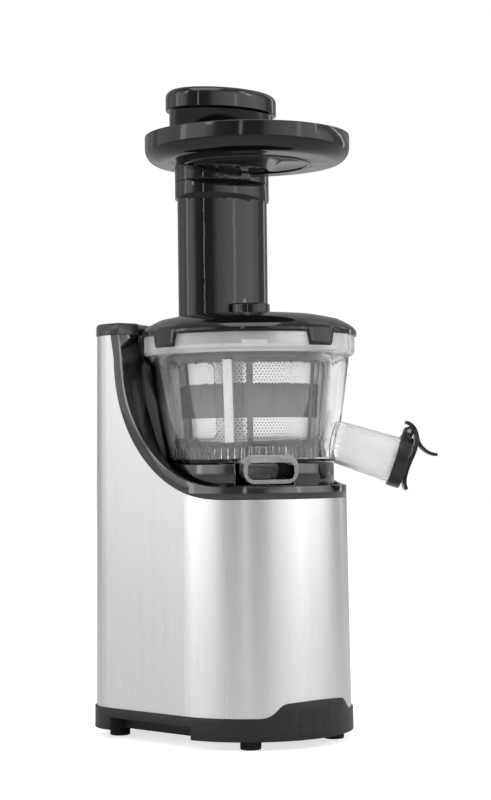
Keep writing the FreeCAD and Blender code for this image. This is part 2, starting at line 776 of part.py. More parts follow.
# Gearbox: a pot under the deck with bosses for the axles, and a base plate that carries the motor
box_centre = V(0, size("gearbox_back"), 0)
box_r, box_wall, box_low = size("gearbox_radius"), size("gearbox_wall"), size("gearbox_low")


def post(radius, low, high, at):
    return Part.makeCylinder(radius, high - low, V(at.x, at.y, low))


pot = post(box_r, box_low + 4, size("deck_under"), box_centre).cut(
    post(box_r - box_wall, box_low + 3, box_roof, box_centre))
pot = pot.fuse(post(shaft_r + 5, out_high + 0.4, box_roof, CENTRE))
for place, low in ((second_at, out_high + 1.4), (first_at, high2 + 1.4)):
    pot = pot.fuse(post(axle + 2.5, low, box_roof, place))
    pot = pot.cut(post(axle + snug, low - 1, box_roof + 2.5, place))
pot = pot.cut(post(shaft_r + 1.5, out_high - 1, size("deck_under + 1"), CENTRE))
nest_under = size("deck_under + sweep_outer - sweep_inner - shell_wall")
for across, behind in ((-32, 12), (32, 12), (-22, 44), (22, 44)):
    pot = pot.fuse(post(5.0, box_roof, nest_under, V(across, behind, 0)))
shaped("gearbox_housing", pot)
plate = post(box_r, box_low, box_low + 4, box_centre)
plate = plate.fuse(post(shaft_r + 5, box_low + 4, out_low - 0.4, CENTRE))
for place, high in ((second_at, low2 - 0.4), (first_at, low1 - 0.4)):
    if high > box_low + 4:
        plate = plate.fuse(post(axle + 2.5, box_low + 4, high, place))
    plate = plate.cut(post(axle + snug, gear_floor - 3, 200, place))
plate = plate.cut(post(shaft_r + 1.5, gear_floor - 3, 200, CENTRE))
plate = plate.cut(post(8.0, 100, 140, motor_at))
shaped("gearbox_plate", plate)
bushes = [post(shaft_r + 1.5, shaft_low, out_low - 0.4, CENTRE),
          post(shaft_r + 1.5, out_high + 0.4, size("deck_under"), CENTRE)]
bushes = [bush.cut(post(shaft_r + run, 100, 200, CENTRE)) for bush in bushes]
shaped("shaft_bushes", Part.Compound(bushes))
seal = post(size("seal_radius") - 0.2, size("deck_under") + 0.05, size("seat_top") - 4, CENTRE)
seal = seal.cut(post(shaft_r + 0.3, 100, 250, CENTRE))
shaped("shaft_seal", seal)
plate_screws = []
for index in range(6):
    at = polar(box_centre, box_r - 1.6, index * 60 + 90)
    plate_screws.append(post(2.2, box_low - 2, box_low, at))
shaped("gearbox_screws", Part.Compound(plate_screws))

# Motor: can, end bell, laminated core, windings, rotor, fan and bearings
can_r, can_low = size("motor_radius"), size("motor_low")
core_low, core_high = size("core_low"), size("core_high")
can_wall = 1.6
can_inside = post(can_r - can_wall, can_low - 1, box_low - can_wall, motor_at)
can = post(can_r, can_low, box_low, motor_at).cut(can_inside)
can = can.cut(post(8.0, box_low - 5, box_low + 1, motor_at))
for window in range(6):
    slot = Part.makeBox(can_r + 5, 12, 14, V(0, -6, can_low + 3))
    slot.rotate(CENTRE, UP, window * 60)
    slot.translate(V(motor_at.x, motor_at.y, 0))
    can = can.cut(slot)
shaped("motor_can", can)
bell = post(can_r, can_low - 3, can_low, motor_at).cut(post(5.0, 20, 60, motor_at))
bell = bell.fuse(post(8.0, can_low - 5, can_low - 3, motor_at).cut(post(5.0, 20, 60, motor_at)))
for leg in range(3):
    at = polar(motor_at, can_r - 6, leg * 120 + 30)
    bell = bell.fuse(post(4.0, cover_high, can_low - 3, at))
for slot in range(8):
    at = polar(motor_at, 21.0, slot * 45)
    bell = bell.cut(post(5.0, can_low - 4, can_low + 1, at))
shaped("motor_end_bell", bell)
rotor_r, rotor_gap = size("rotor_radius"), size("rotor_gap")
core = post(can_r - can_wall, core_low, core_high, motor_at)
core = core.cut(post(rotor_r + rotor_gap, core_low - 1, core_high + 1, motor_at))
for index in range(4):
    at = polar(motor_at, rotor_r + 7.0, index * 90 + 45)
    core = core.cut(post(4.6, core_low - 1, core_high + 1, at))
shaped("stator_core", core)
coils = []
for index in range(4):
    at = polar(motor_at, rotor_r + 7.0, index * 90 + 45)
    coils.append(post(4.4, core_low - 6, core_high + 6, at))
shaped("stator_coils", Part.Compound(coils))
shaft_m = size("motor_shaft_radius")
rotor = post(rotor_r, core_low - 1, core_high + 1, motor_at).cut(post(shaft_m + snug, 0, 200, motor_at))
shaped("rotor_core", rotor)
pinion_top = high1 + 1.0
rod = post(shaft_m, can_low - 4.5, pinion_top - 2, motor_at).fuse(
    spur(mod1, pin0_teeth, pin0_angle, low1 - 1.0, pinion_top, motor_at))
shaped("motor_shaft", rod)
fan = post(9.0, can_low + 3, can_low + 12, motor_at)
for blade in range(9):
    vane = Part.makeBox(size("fan_radius") - 8, 1.6, 9, V(7, -0.8, can_low + 3))
    vane.rotate(CENTRE, UP, blade * 40)
    vane.translate(V(motor_at.x, motor_at.y, 0))
    fan = fan.fuse(vane)
fan = fan.fuse(post(size("fan_radius"), can_low + 2, can_low + 3.4, motor_at))
fan = fan.cut(post(shaft_m + snug, 0, 200, motor_at))
shaped("motor_fan", fan)
lower = post(5.0, can_low - 5, can_low - 1, motor_at).cut(post(shaft_m + run, 0, 200, motor_at))
upper = post(8.0, box_low - 4, box_low + 3, motor_at).cut(post(shaft_m + run, 0, 200, motor_at))
shaped("motor_bearings", Part.Compound([lower, upper]))

# Controls and wiring on the back panel


def rear_at(height):
    """Where the back panel's outside stands at a height."""
    return rear - height * size("body_draft")


face_y = rear_at(switch_z) + 0.25
depth = size("rocker_depth")
switch_box = Part.makeBox(2 * switch_w - 0.4, 20, 2 * switch_h - 0.4,
                          V(-switch_w + 0.2, face_y - 20, switch_z - switch_h + 0.2))
bezel = Part.makeBox(2 * switch_w + 4, 1.4, 2 * switch_h + 4,
                     V(-switch_w - 2, face_y, switch_z - switch_h - 2))
well_w, well_h = switch_w - 2.0, switch_h - 2.2
well = Part.makeBox(2 * well_w, depth + 4, 2 * well_h, V(-well_w, face_y - depth, switch_z - well_h))
pivot = V(0, face_y - 2.0, switch_z)
pivot_r = 1.2
pivot_hole = Part.makeCylinder(pivot_r + run, 2 * switch_w - 2, V(1 - switch_w, pivot.y, pivot.z),
                               V(1, 0, 0))
shaped("switch_body", switch_box.fuse(bezel).cut(well).cut(pivot_hole))
rocker_outline = [(4.4, well_h - 1.2), (2.6, 0), (4.4, -well_h + 1.2), (-2.4, -well_h + 1.8), (-5.0, 0),
                  (-2.4, well_h - 1.8)]
corners = [V(-well_w + 0.2, pivot.y + across, pivot.z + up) for across, up in rocker_outline]
rocker = Part.Face(Part.makePolygon(corners + [corners[0]])).extrude(V(2 * well_w - 0.4, 0, 0))
stubs = Part.makeCylinder(pivot_r, 2 * well_w + 1.6, V(-well_w - 0.8, pivot.y, pivot.z), V(1, 0, 0))
shaped("rocker_button", rocker.fuse(stubs))
inlet_y = rear_at(inlet_z) + 0.35
inlet_r = size("inlet_radius")
gland = Part.makeCylinder(inlet_r - 0.15, 12, V(0, inlet_y - 10, inlet_z), V(0, 1, 0))
gland = gland.fuse(Part.makeCylinder(inlet_r + 2.5, 2.0, V(0, inlet_y, inlet_z), V(0, 1, 0)))
gland = gland.cut(Part.makeCylinder(3.8, 30, V(0, inlet_y - 12, inlet_z), V(0, 1, 0)))
shaped("cord_inlet", gland)
board_low, board_y = 180.0, 88.0
board = Part.makeBox(52, 1.6, 40, V(-26, board_y - 1.6, board_low))
shaped("circuit_board", board)
board_posts = []
for side in (-1, 1):
    for height in (board_low + 4, board_low + 36):
        reach = rear_at(height) - size("shell_wall + sheet_wall + seam") - board_y - 0.05
        board_posts.append(Part.makeCylinder(2.2, reach, V(side * 22, board_y, height), V(0, 1, 0)))
shaped("board_posts", Part.Compound(board_posts))
shaped("run_capacitor", Part.makeCylinder(6.0, 13, V(12, board_y - 14.6, board_low + 12), V(0, 1, 0)))
column_wall_y = size("nest_radius + shell_wall")
shaped("interlock_sensor", Part.makeBox(16, 7, 12, V(-8, column_wall_y + 0.05, TOP - 18)))

# Bowl: clear tapered pot with a thick rim, a hub, a juice spout and a pulp outlet
floor_low = size("seat_top + 0.3")
floor_high = floor_low + size("bowl_floor")
wall = size("bowl_wall")
low_r, mid_r, high_r = size("bowl_low_radius"), size("bowl_mid_radius"), size("bowl_high_radius")
mid_z, high_z2 = size("bowl_mid_height"), size("bowl_high_height")
rim_r, rim_top, rim_bore = size("rim_radius"), size("rim_top"), size("rim_bore")
ledge = high_z2 + 3.5
bowl_out = turned([(0, floor_low), (low_r, floor_low), (mid_r, mid_z), (high_r, high_z2),
                   (rim_r - 1.6, high_z2), (rim_r, high_z2 + 1.6), (rim_r, rim_top - 0.8),
                   (rim_r - 0.8, rim_top), (0, rim_top)])
bowl_in = turned([(0, floor_high), (low_r - wall + 0.4, floor_high), (mid_r - wall, mid_z),
                  (high_r - wall, high_z2), (high_r - wall, ledge), (rim_bore, ledge),
                  (rim_bore, rim_top + 1), (0, rim_top + 1)])
spout_angle, slope = size("spout_heading"), math.radians(size("spout_slope"))
spout_dir = V(math.cos(slope), 0, -math.sin(slope))
root_at = 62.7
spout_root = V(root_at, 0, size("spout_height"))
reach = (size("spout_reach") - root_at) / math.cos(slope)
inset = (root_at - size("spout_start")) / math.cos(slope)
root_r, end_r, spout_wall = size("spout_root_radius"), size("spout_end_radius"), size("spout_wall")
grow = (end_r - root_r) / reach


def spout_cone(extra, first, last):
    """Part of the spout's cone, from one length to another along its axis."""
    near, far = root_r + grow * first + extra, root_r + grow * last + extra
    cone = Part.makeCone(near, far, last - first, spout_root + spout_dir * first, spout_dir)
    return laid(cone, spout_angle)


seat_space = post(size("seat_radius") + SEAM, DECK_TOP, floor_low, CENTRE)
spout_out = spout_cone(0, -inset, reach).cut(seat_space)
spout_bore = spout_cone(-spout_wall, -inset + 1.0, reach + 1)
out_w, out_low2, out_high2 = size("outlet_width"), size("outlet_low"), size("outlet_high")
out_wall, out_corner = size("outlet_wall"), size("outlet_corner")


def duct(width, low, high, corner, first, last):
    """A rounded rectangular bar pointing along the pulp outlet."""
    bar = Part.makeBox(last - first, width, high - low, V(first, -width / 2, low))
    along = [edge for edge in bar.Edges if abs(edge.tangentAt(edge.FirstParameter).x) > 0.9]
    return laid(bar.makeFillet(corner, along), outlet_angle)


drop_near, drop_far, drop_w = size("drop_near"), size("drop_far"), size("drop_width")
duct_out = duct(out_w, out_low2, out_high2, out_corner, drop_near - out_wall, size("outlet_reach"))
duct_in = duct(out_w - 2 * out_wall, out_low2 + out_wall, floor_low, 4.0, drop_near,
               size("outlet_reach") + 9)
drop = Part.makeBox(drop_far - drop_near, drop_w, 8, V(drop_near, -drop_w / 2, floor_low - 2))
drop = laid(drop, outlet_angle)
hub = post(size("hub_radius"), floor_low, size("hub_top"), CENTRE)
bowl = bowl_out.fuse([spout_out, duct_out]).cut(bowl_in).fuse(hub)
bowl = bowl.cut([spout_bore, duct_in, drop, post(size("hub_bore"), 150, 220, CENTRE)])
lug_heads = [-37.0 + 360.0 * index / size("lug_count") for index in range(int(size("lug_count")))]
ribs = []
for head in lug_heads:
    for turn in (-25.5, 8.7):
        rib = Part.makeBox(0.8, 1.2, rim_top - high_z2 - 4, V(rim_r - 0.2, -0.6, high_z2 + 2.4))
        ribs.append(laid(rib, head + turn))
bowl = bowl.fuse(ribs)
shaped("bowl", bowl)
drive_seal = post(size("hub_bore") - 0.1, floor_low + 1, size("hub_top") - 1, CENTRE).cut(
    post(size("hex_flat") / math.cos(math.pi / 6) + 0.35, 100, 250, CENTRE))
shaped("drive_seal", drive_seal)

# Gears in the bowl: a sun under the auger, two idlers on pins and the ring inside the cage
bowl_module = size("bowl_module")
sun_t, idler_t, ring_t = int(size("sun_teeth")), int(size("idler_teeth")), int(size("ring_teeth"))
gear_low, gear_high = size("bowl_gear_low"), size("bowl_gear_high")
idler_radius = bowl_module * (sun_t + idler_t) / 2
idler_angles = [outlet_angle - 90 + turn for turn in (90, -90)]
idler_pins = []
for index, angle in enumerate(idler_angles):
    at = polar(CENTRE, idler_radius, angle)
    first_tooth = meshed_angle(sun_t, 0, idler_t, angle)
    gear = spur(bowl_module, idler_t, first_tooth, gear_low + 0.3, gear_high - 0.1, at)
    shaped("idler_gear_%d" % (index + 1), gear.cut(post(size("idler_pin_radius") + run, 0, 300, at)))
    idler_pins.append(post(size("idler_pin_radius"), floor_high, gear_high + 0.2, at))
    ring_share = ((angle - first_tooth) * idler_t / 360.0 + 0.5) % 1.0
    ring_angle = angle - ring_share * 360.0 / ring_t
shaped("idler_pins", Part.Compound(idler_pins))

# Spinning brush cage with four windows, the ring gear and upright ribs at its foot
cage_low = floor_high + 0.3
cage_r1, cage_r2 = size("cage_low_radius"), size("cage_high_radius")
cage_top, cage_wall = size("cage_top"), size("cage_wall")
foot_top = gear_high + 1.0


def cage_radius(height):
    """The brush cage's outside radius at a height."""
    return cage_r1 + (cage_r2 - cage_r1) * (height - foot_top) / (cage_top - foot_top)



cage = turned([(0, cage_low), (cage_r1, cage_low), (cage_r1, foot_top), (cage_r2, cage_top), (0, cage_top)])
cage = cage.cut(turned([(0, foot_top), (cage_r1 - cage_wall, foot_top), (cage_r2 - cage_wall, cage_top),
                        (cage_r2 - cage_wall, cage_top + 1), (0, cage_top + 1)]))
ring_wire = gear_wire(bowl_module, ring_t, ring_angle, cage_low - 1, inner=True)
cage = cage.cut(Part.Face(ring_wire).extrude(V(0, 0, foot_top - cage_low + 2)))
window_low, window_high = size("cage_window_low"), size("cage_window_high")
post_heads = [-55.0 + 90.0 * index for index in range(4)]


def sector(low, high, middle, spread, reach=90.0):
    """A wedge of space about the axis, centred on a heading."""
    wedge = Part.makeCylinder(reach, high - low, V(0, 0, low), UP, spread)
    wedge.rotate(CENTRE, UP, middle - 90 - spread / 2.0)
    return wedge


windows = []
for head in post_heads:
    window = sector(window_low, window_high, head + 45, 70)
    window = window.cut(post(40, window_low - 1, window_high + 1, CENTRE))
    upright = [edge for edge in window.Edges if abs(edge.tangentAt(edge.FirstParameter).z) < 0.1
               and edge.Length > 45 and edge.Length < 52]
    windows.append(window.makeFillet(5.0, upright) if upright else window)
cage = cage.cut(windows)
foot_ribs = []
for index in range(60):
    rib = Part.makeBox(1.0, 1.4, 4.6, V(cage_r1 - 0.3, -0.7, cage_low + 0.4))
    rib.rotate(CENTRE, UP, index * 6.0)
    foot_ribs.append(rib)
cage = cage.fuse(foot_ribs)
cage = cage.fuse(turned([(cage_r2 - cage_wall, cage_top - 5), (cage_r2 + 1.2, cage_top - 5),
                         (cage_r2 + 1.2, cage_top), (cage_r2 - cage_wall, cage_top)]))
wiper_low, wiper_high = window_low - 3, window_high + 2
proud = size("wiper_reach")
strain_r1, strain_r2 = size("strainer_low_radius"), size("strainer_high_radius")
strain_low, strain_high = size("strainer_floor"), cage_top + 0.8


def strain_radius(height):
    """The strainer's outside radius at a height."""
    return strain_r1 + (strain_r2 - strain_r1) * (height - strain_low) / (strain_high - strain_low)



wiper_ring = turned([
    (strain_radius(wiper_low) + 0.5, wiper_low), (cage_radius(wiper_low) + proud, wiper_low),
    (cage_radius(wiper_high) + proud, wiper_high), (strain_radius(wiper_high) + 0.5, wiper_high)])
wipers, slots = [], []
for head in post_heads:
    strip = laid(Part.makeBox(80, 6.4, 100, V(10, -3.2, 190)), head)
    slots.append(strip.common(band(wiper_low - 0.05, wiper_high + 0.05)))
    strip = laid(Part.makeBox(80, 6.3, 100, V(10, -3.15, 190)), head)
    wipers.append(wiper_ring.common(strip))
shaped("brush_cage", cage.cut(slots))
shaped("wiper_blades", Part.Compound(wipers))

# Strainer: a frame with a floor, a middle band and a top flange, and steel mesh between its bars
strain_wall = size("strainer_wall")
strain_in = turned([(0, strain_low + 2), (strain_r1 - strain_wall, strain_low + 2),
                    (strain_r2 - strain_wall, strain_high + 5), (0, strain_high + 5)])
flange_high = strain_high + 1.8
strain_out = turned([(0, strain_low), (strain_r1, strain_low), (strain_r2, strain_high),
                     (rim_bore - 4, strain_high), (rim_bore - 4, flange_high), (0, flange_high)])
frame_solid = strain_out.cut(strain_in).cut(post(17.0, 100, 250, CENTRE))
band_low, band_high = size("band_low"), size("band_high")
panels, openings = [], []
mesh_out = turned([(strain_r1 - strain_wall + 0.3, strain_low), (strain_r1 - 0.3, strain_low),
                   (strain_r2 - 0.3, strain_high), (strain_r2 - strain_wall + 0.3, strain_high)])
bars = 6
for low, high in ((strain_low + 3.5, band_low), (band_high, strain_high - 9)):
    for index in range(bars):
        middle = -40.0 + 360.0 / bars * (index + 0.5)
        opening = sector(low, high, middle, 360.0 / bars - 5)
        openings.append(opening.cut(post(40, low - 1, high + 1, CENTRE)))
        panels.append(mesh_out.common(sector(low + 0.02, high - 0.02, middle, 360.0 / bars - 5.04)))
spigot = Part.makeBox(drop_far - drop_near - 0.6, drop_w - 0.6, strain_low + 2 - floor_low,
                      V(drop_near + 0.3, -drop_w / 2 + 0.3, floor_low))
spigot = laid(spigot, outlet_angle)
spigot_bore = Part.makeBox(drop_far - drop_near - 4, drop_w - 4, 30,
                           V(drop_near + 2, -drop_w / 2 + 2, floor_low - 5))
spigot_bore = laid(spigot_bore, outlet_angle)
lugs = []
for head in lug_heads:
    lug = laid(Part.makeBox(5.0, 17, 4.2, V(rim_bore - 5.5, -8.5, strain_high)), head)
    lugs.append(lug.common(post(rim_bore - 0.3, 200, 300, CENTRE)))
frame_solid = frame_solid.cut(openings).fuse([spigot] + lugs).cut(spigot_bore)
shaped("strainer_frame", frame_solid)
shaped("strainer_mesh", Part.Compound(panels))

# Auger: tapered core with a helical flight, the sun gear under it and a steel hex socket in it
auger_low, auger_high = size("auger_low"), size("auger_high")
core_r1, core_r2 = size("auger_core_low"), size("auger_core_high")
gap = size("auger_gap")
reach_low = strain_radius(auger_low) - strain_wall - gap
reach_high = strain_radius(auger_high) - strain_wall - gap
envelope = turned([(0, auger_low), (reach_low, auger_low), (reach_high, auger_high - 0.5),
                   (0, auger_high - 0.5)])
core = turned([(0, auger_low), (reach_low - 1, auger_low), (reach_low - 1, auger_low + 2.5),
               (core_r1, auger_low + 8), (core_r2, auger_high), (0, auger_high)])
flight_t, pitch = size("auger_flight"), size("auger_pitch")
helix = Part.makeHelix(pitch, auger_high - auger_low - 8, 30.0)
helix.translate(V(0, 0, auger_low + 3))
start = V(0, 0, auger_low + 3)
corners = [V(10, 0, -flight_t), V(56, 0, -flight_t / 3), V(56, 0, flight_t / 3), V(10, 0, flight_t)]
section = Part.makePolygon([start + corner for corner in corners + corners[:1]])
flight = Part.Wire(helix.Edges).makePipeShell([section], True, True)
auger = core.fuse(flight.common(envelope))
auger = auger.fuse(post(size("auger_stub_radius"), auger_high, size("lid_top") + 1, CENTRE))
auger = auger.fuse(post(13.0, gear_high - 0.2, auger_low, CENTRE))
socket_low, socket_high = size("hub_top") + 1.2, size("shaft_top") + 4
auger = auger.cut(post(9.0, 190, socket_high, CENTRE))
auger = auger.cut(post(size("hub_radius") + 0.7, 190, socket_low, CENTRE))
shaped("auger", auger)
sun = spur(bowl_module, sun_t, 0, gear_low, gear_high - 0.2)
sun = sun.cut(post(size("hub_radius") + 0.7, 0, 300, CENTRE))
shaped("sun_gear", sun)
socket_flat = flat + 0.12
socket_cut = Part.Face(hexagon_wire(socket_flat)).extrude(V(0, 0, 2 * ROOM))
socket = post(8.99, socket_low, socket_high - 0.02, CENTRE)
shaped("hex_socket", socket.cut(socket_cut.common(band(0, size("shaft_top") + 1))))

# Cap of the juice spout: a ring on its end, a sprung flap with a thumb lever, its plug and its pin
across = V(math.sin(slope), 0, math.cos(slope))
ring_face = spout_root + spout_dir * (reach - size("cap_ring_overlap") + size("cap_ring_length"))


def at_cap(along, up, side=0.0):
    """A point of the cap, from the middle of the ring's outer face."""
    return ring_face + spout_dir * along + across * up + V(0, side, 0)


ring_len = size("cap_ring_length")
cap_ring = Part.makeCylinder(size("cap_ring_radius"), ring_len, at_cap(-ring_len, 0), spout_dir)
cap_ring = cap_ring.makeFillet(1.0, cap_ring.Edges[:1] + cap_ring.Edges[2:3])
hinge_back, hinge_up = size("flap_hinge_back"), size("flap_hinge_up")
flap_w = size("flap_width")
ears = []
for side in (-1, 1):
    low_side = 5.3 if side > 0 else -8.3
    ear = Part.makeCylinder(3.2, 3.0, at_cap(-hinge_back, hinge_up, low_side), V(0, 1, 0))
    outline = [at_cap(-hinge_back - 3.2, 16, low_side), at_cap(-hinge_back + 3.2, 16, low_side),
               at_cap(-hinge_back + 3.2, hinge_up, low_side), at_cap(-hinge_back - 3.2, hinge_up, low_side)]
    ears.append(ear.fuse(Part.Face(Part.makePolygon(outline + [outline[0]])).extrude(V(0, 3.0, 0))))
cap_ring = cap_ring.fuse(ears)
pin_r = size("flap_pin_radius")
hinge_hole = Part.makeCylinder(pin_r + snug, 40, at_cap(-hinge_back, hinge_up, -20), V(0, 1, 0))
cap_ring = laid(cap_ring.cut(hinge_hole), spout_angle).cut(spout_cone(0.1, -inset, reach + 0.05))
mouth_r = end_r - spout_wall
cap_ring = cap_ring.cut(laid(Part.makeCylinder(mouth_r, 60, at_cap(-50, 0), spout_dir), spout_angle))
shaped("cap_ring", cap_ring)
flap_pin = Part.makeCylinder(pin_r, 16.4, at_cap(-hinge_back, hinge_up, -8.2), V(0, 1, 0))
shaped("cap_pin", laid(flap_pin, spout_angle))


def strip_along(points, wall, width):
    """A bent strip of even thickness that follows a smooth line of (along, up) points."""
    line = Part.BSplineCurve()
    line.interpolate([V(along, up, 0) for along, up in points])
    first, last = line.FirstParameter, line.LastParameter
    left, right = [], []
    count = 24
    for step in range(count + 1):
        where = first + (last - first) * step / count
        spot, way = line.value(where), line.tangent(where)[0]
        out = V(-way.y, way.x, 0) * (wall / 2)
        left.append(at_cap(spot.x + out.x, spot.y + out.y, -width / 2))
        right.append(at_cap(spot.x - out.x, spot.y - out.y, -width / 2))
    sides = []
    for edge_points in (left, right):
        curve = Part.BSplineCurve()
        curve.interpolate(edge_points)
        sides.append(curve.toShape())
    ends = [Part.LineSegment(left[index], right[index]).toShape() for index in (0, -1)]
    wire = Part.Wire(Part.__sortEdges__([sides[0], ends[1], sides[1], ends[0]]))
    return Part.Face(wire).extrude(V(0, width, 0))


flap_wall = size("flap_wall")
flap_line = [(-3.0, 23.8), (0.2, 21.6), (2.5, 15.5), (2.6, 7.0), (1.8, 0.0), (1.7, -7.0), (2.4, -12.5),
             (5.4, -17.6)]
lever_line = [(-9.0, 27.8), (-4.0, 26.9), (0.8, 22.2), (3.4, 17.6), (8.4, 13.6), (19.0, 12.6)]
flap = strip_along(flap_line, flap_wall, flap_w)
lever = strip_along(lever_line, flap_wall - 0.2, flap_w * 0.8)
barrel = Part.makeCylinder(3.1, 10.0, at_cap(-hinge_back, hinge_up, -5.0), V(0, 1, 0))
web = [at_cap(-hinge_back, hinge_up + 3.0, -5), at_cap(-1.5, hinge_up + 3.2, -5),
       at_cap(0.5, hinge_up - 0.5, -5), at_cap(-hinge_back, hinge_up - 2.0, -5)]
web_solid = Part.Face(Part.makePolygon(web + [web[0]])).extrude(V(0, 10, 0))
ear_room = []
for side in (-1, 1):
    low_side = 5.0 if side > 0 else -8.6
    ear_room.append(Part.makeCylinder(3.6, 3.6, at_cap(-hinge_back, hinge_up, low_side), V(0, 1, 0)))
stem = Part.makeCylinder(3.0, 5.0, at_cap(-3.0, 0), spout_dir)
flap = flap.fuse([lever, barrel, web_solid]).cut(ear_room)
flap = flap.cut(Part.makeCylinder(pin_r + run, 40, at_cap(-hinge_back, hinge_up, -20), V(0, 1, 0)))
flap = flap.fuse(stem.cut(Part.makeCylinder(40, 20, at_cap(1.4, 0), spout_dir)))
plug_r = size("plug_radius")
shaped("cap_flap", laid(flap, spout_angle))
plug = Part.makeCylinder(plug_r, 2.4, at_cap(-5.4, 0), spout_dir)
plug = plug.fuse(Part.makeCylinder(6.0, 1.6, at_cap(-4.6, 0), spout_dir))
shaped("cap_plug", laid(plug, spout_angle))

# Lid: shallow dome with a skirt, a bearing boss on the axis, an oval chute and four hanging tabs
lid_r, lid_low, lid_top, lid_wall = size("lid_radius"), size("lid_low"), size("lid_top"), size("lid_wall")
seat_z = rim_top + 1.5
dome = turned([(0, lid_top), (50, lid_top - 0.7), (64, lid_top - 3.6), (71.5, lid_top - 7.4),
               (lid_r - 1.2, lid_top - 10.4), (lid_r, lid_top - 12.4), (lid_r, lid_low),
               (rim_r + 0.3, lid_low), (rim_r + 0.3, seat_z), (rim_bore - 0.6, seat_z),
               (68.5, seat_z + 2.4), (63.5, lid_top - 3.6 - lid_wall),
               (49.5, lid_top - 0.7 - lid_wall), (0, lid_top - lid_wall)])
back = size("chute_back")
long_r, short_r, chute_wall = size("chute_half_long"), size("chute_half_short"), size("chute_wall")
collar_out = size("collar_proud")
chute_top, collar_low = size("chute_top"), size("collar_low")
hub_low = size("tray_hub_low")
chute = oval(long_r, short_r, lid_top - 2.4, chute_top, back)
collar = oval(long_r + collar_out, short_r + collar_out, collar_low, hub_low - SEAM, back)
boss = post(size("boss_radius"), lid_top - 3, size("boss_top"), CENTRE)
boss = boss.makeFillet(1.5, [edge for edge in boss.Edges if edge.BoundBox.ZMin > size("boss_top") - 0.1])
holder = post(11.5, lid_top - 5.5, lid_top, CENTRE)
chute_bore = oval(long_r - chute_wall, short_r - chute_wall, lid_low, chute_top + 1, back)
chute_bore = chute_bore.cut(post(size("boss_radius"), lid_low - 1, size("boss_top"), CENTRE))
lid = dome.fuse([chute, collar, boss]).cut(chute_bore).fuse(holder.cut(post(9.01, 0, 400, CENTRE)))
lid = lid.cut(post(9.01, lid_low, size("boss_top") - 3, CENTRE))
tab_w, tab_low, tab_proud = size("tab_width"), size("tab_low"), size("tab_proud")
tab_ring = turned([(rim_r + 0.3, tab_low), (lid_r + tab_proud - 0.8, tab_low),
                   (lid_r + tab_proud, tab_low + 1.2), (lid_r + tab_proud, lid_low + 3.0),
                   (lid_r - 0.6, lid_low + 5.4), (rim_r + 0.3, lid_low + 5.4)])
tabs = []
for index in range(4):
    narrow = tab_w / 2 - 2.6
    outline = [V(60, -narrow, tab_low - 1), V(60, narrow, tab_low - 1), V(60, tab_w / 2, lid_low + 1),
               V(60, tab_w / 2 - 1.5, lid_low + 7), V(60, -tab_w / 2 + 1.5, lid_low + 7),
               V(60, -tab_w / 2, lid_low + 1)]
    block_out = Part.Face(Part.makePolygon(outline + [outline[0]])).extrude(V(30, 0, 0))
    tabs.append(tab_ring.common(laid(block_out, index * 90.0)))
magnet_box = laid(Part.makeBox(1.2, 8, 6, V(lid_r - 0.1, -4, lid_low - 5)), 180)
lid = lid.fuse(tabs).cut(magnet_box)
shaped("lid", lid)
magnet = Part.makeBox(1.1, 7.8, 5.8, V(lid_r - 0.05, -3.9, lid_low - 4.9))
shaped("lid_magnet", laid(magnet, 180))
gasket_low, gasket_high = rim_top + 0.1, seat_z - 0.02
shaped("lid_gasket", turned([(rim_bore + 0.2, gasket_low), (rim_r - 0.3, gasket_low),
                             (rim_r - 0.3, gasket_high), (rim_bore + 0.2, gasket_high)]))
bush = post(9.0, lid_top - 5.5, size("boss_top") - 3.2, CENTRE)
shaped("auger_bush", bush.cut(post(size("auger_stub_radius") + 0.08, 0, 400, CENTRE)))

# Hopper tray: round dish with a large lower corner and an oval hub that sits over the chute
tray_r, tray_rim, tray_low = size("tray_radius"), size("tray_rim"), size("tray_low")
corner, tray_wall = size("tray_corner"), size("tray_wall")


def dish(radius, low, high, corner_radius):
    """A round dish's outside as one turned solid."""
    side = Part.LineSegment(V(radius, 0, low + corner_radius), V(radius, 0, high)).toShape()
    inset = corner_radius * (1 - math.sqrt(0.5))
    bend_edge = Part.Arc(V(radius - corner_radius, 0, low), V(radius - inset, 0, low + inset),
                         V(radius, 0, low + corner_radius)).toShape()
    flat_edge = Part.LineSegment(V(0, 0, low), V(radius - corner_radius, 0, low)).toShape()
    top_edge = Part.LineSegment(V(radius, 0, high), V(0, 0, high)).toShape()
    axis_edge = Part.LineSegment(V(0, 0, high), V(0, 0, low)).toShape()
    return Part.Face(Part.Wire([flat_edge, bend_edge, side, top_edge, axis_edge])).revolve(CENTRE, UP, 360)


tray = dish(tray_r, tray_low, tray_rim, corner)
hollow = dish(tray_r - tray_wall, tray_low + tray_wall, tray_rim + 1, corner - tray_wall)
tray = tray.cut(hollow)
tray = tray.fuse(oval(long_r + collar_out, short_r + collar_out, hub_low, tray_low + tray_wall, back))
tray = tray.fuse(turned([(43, tray_low - 1.0), (45, tray_low - 1.0), (45.6, tray_low + 0.5),
                         (42.4, tray_low + 0.5)]))
tray = tray.cut(oval(long_r - chute_wall, short_r - chute_wall, hub_low - 1, tray_rim, back))
tray = tray.cut(oval(long_r + 0.2, short_r + 0.2, hub_low - 1, chute_top + 0.3, back))
lip_edges = [edge for edge in tray.Edges if edge.BoundBox.ZMin > tray_rim - 0.1]
shaped("tray", tray.makeFillet(0.9, lip_edges))

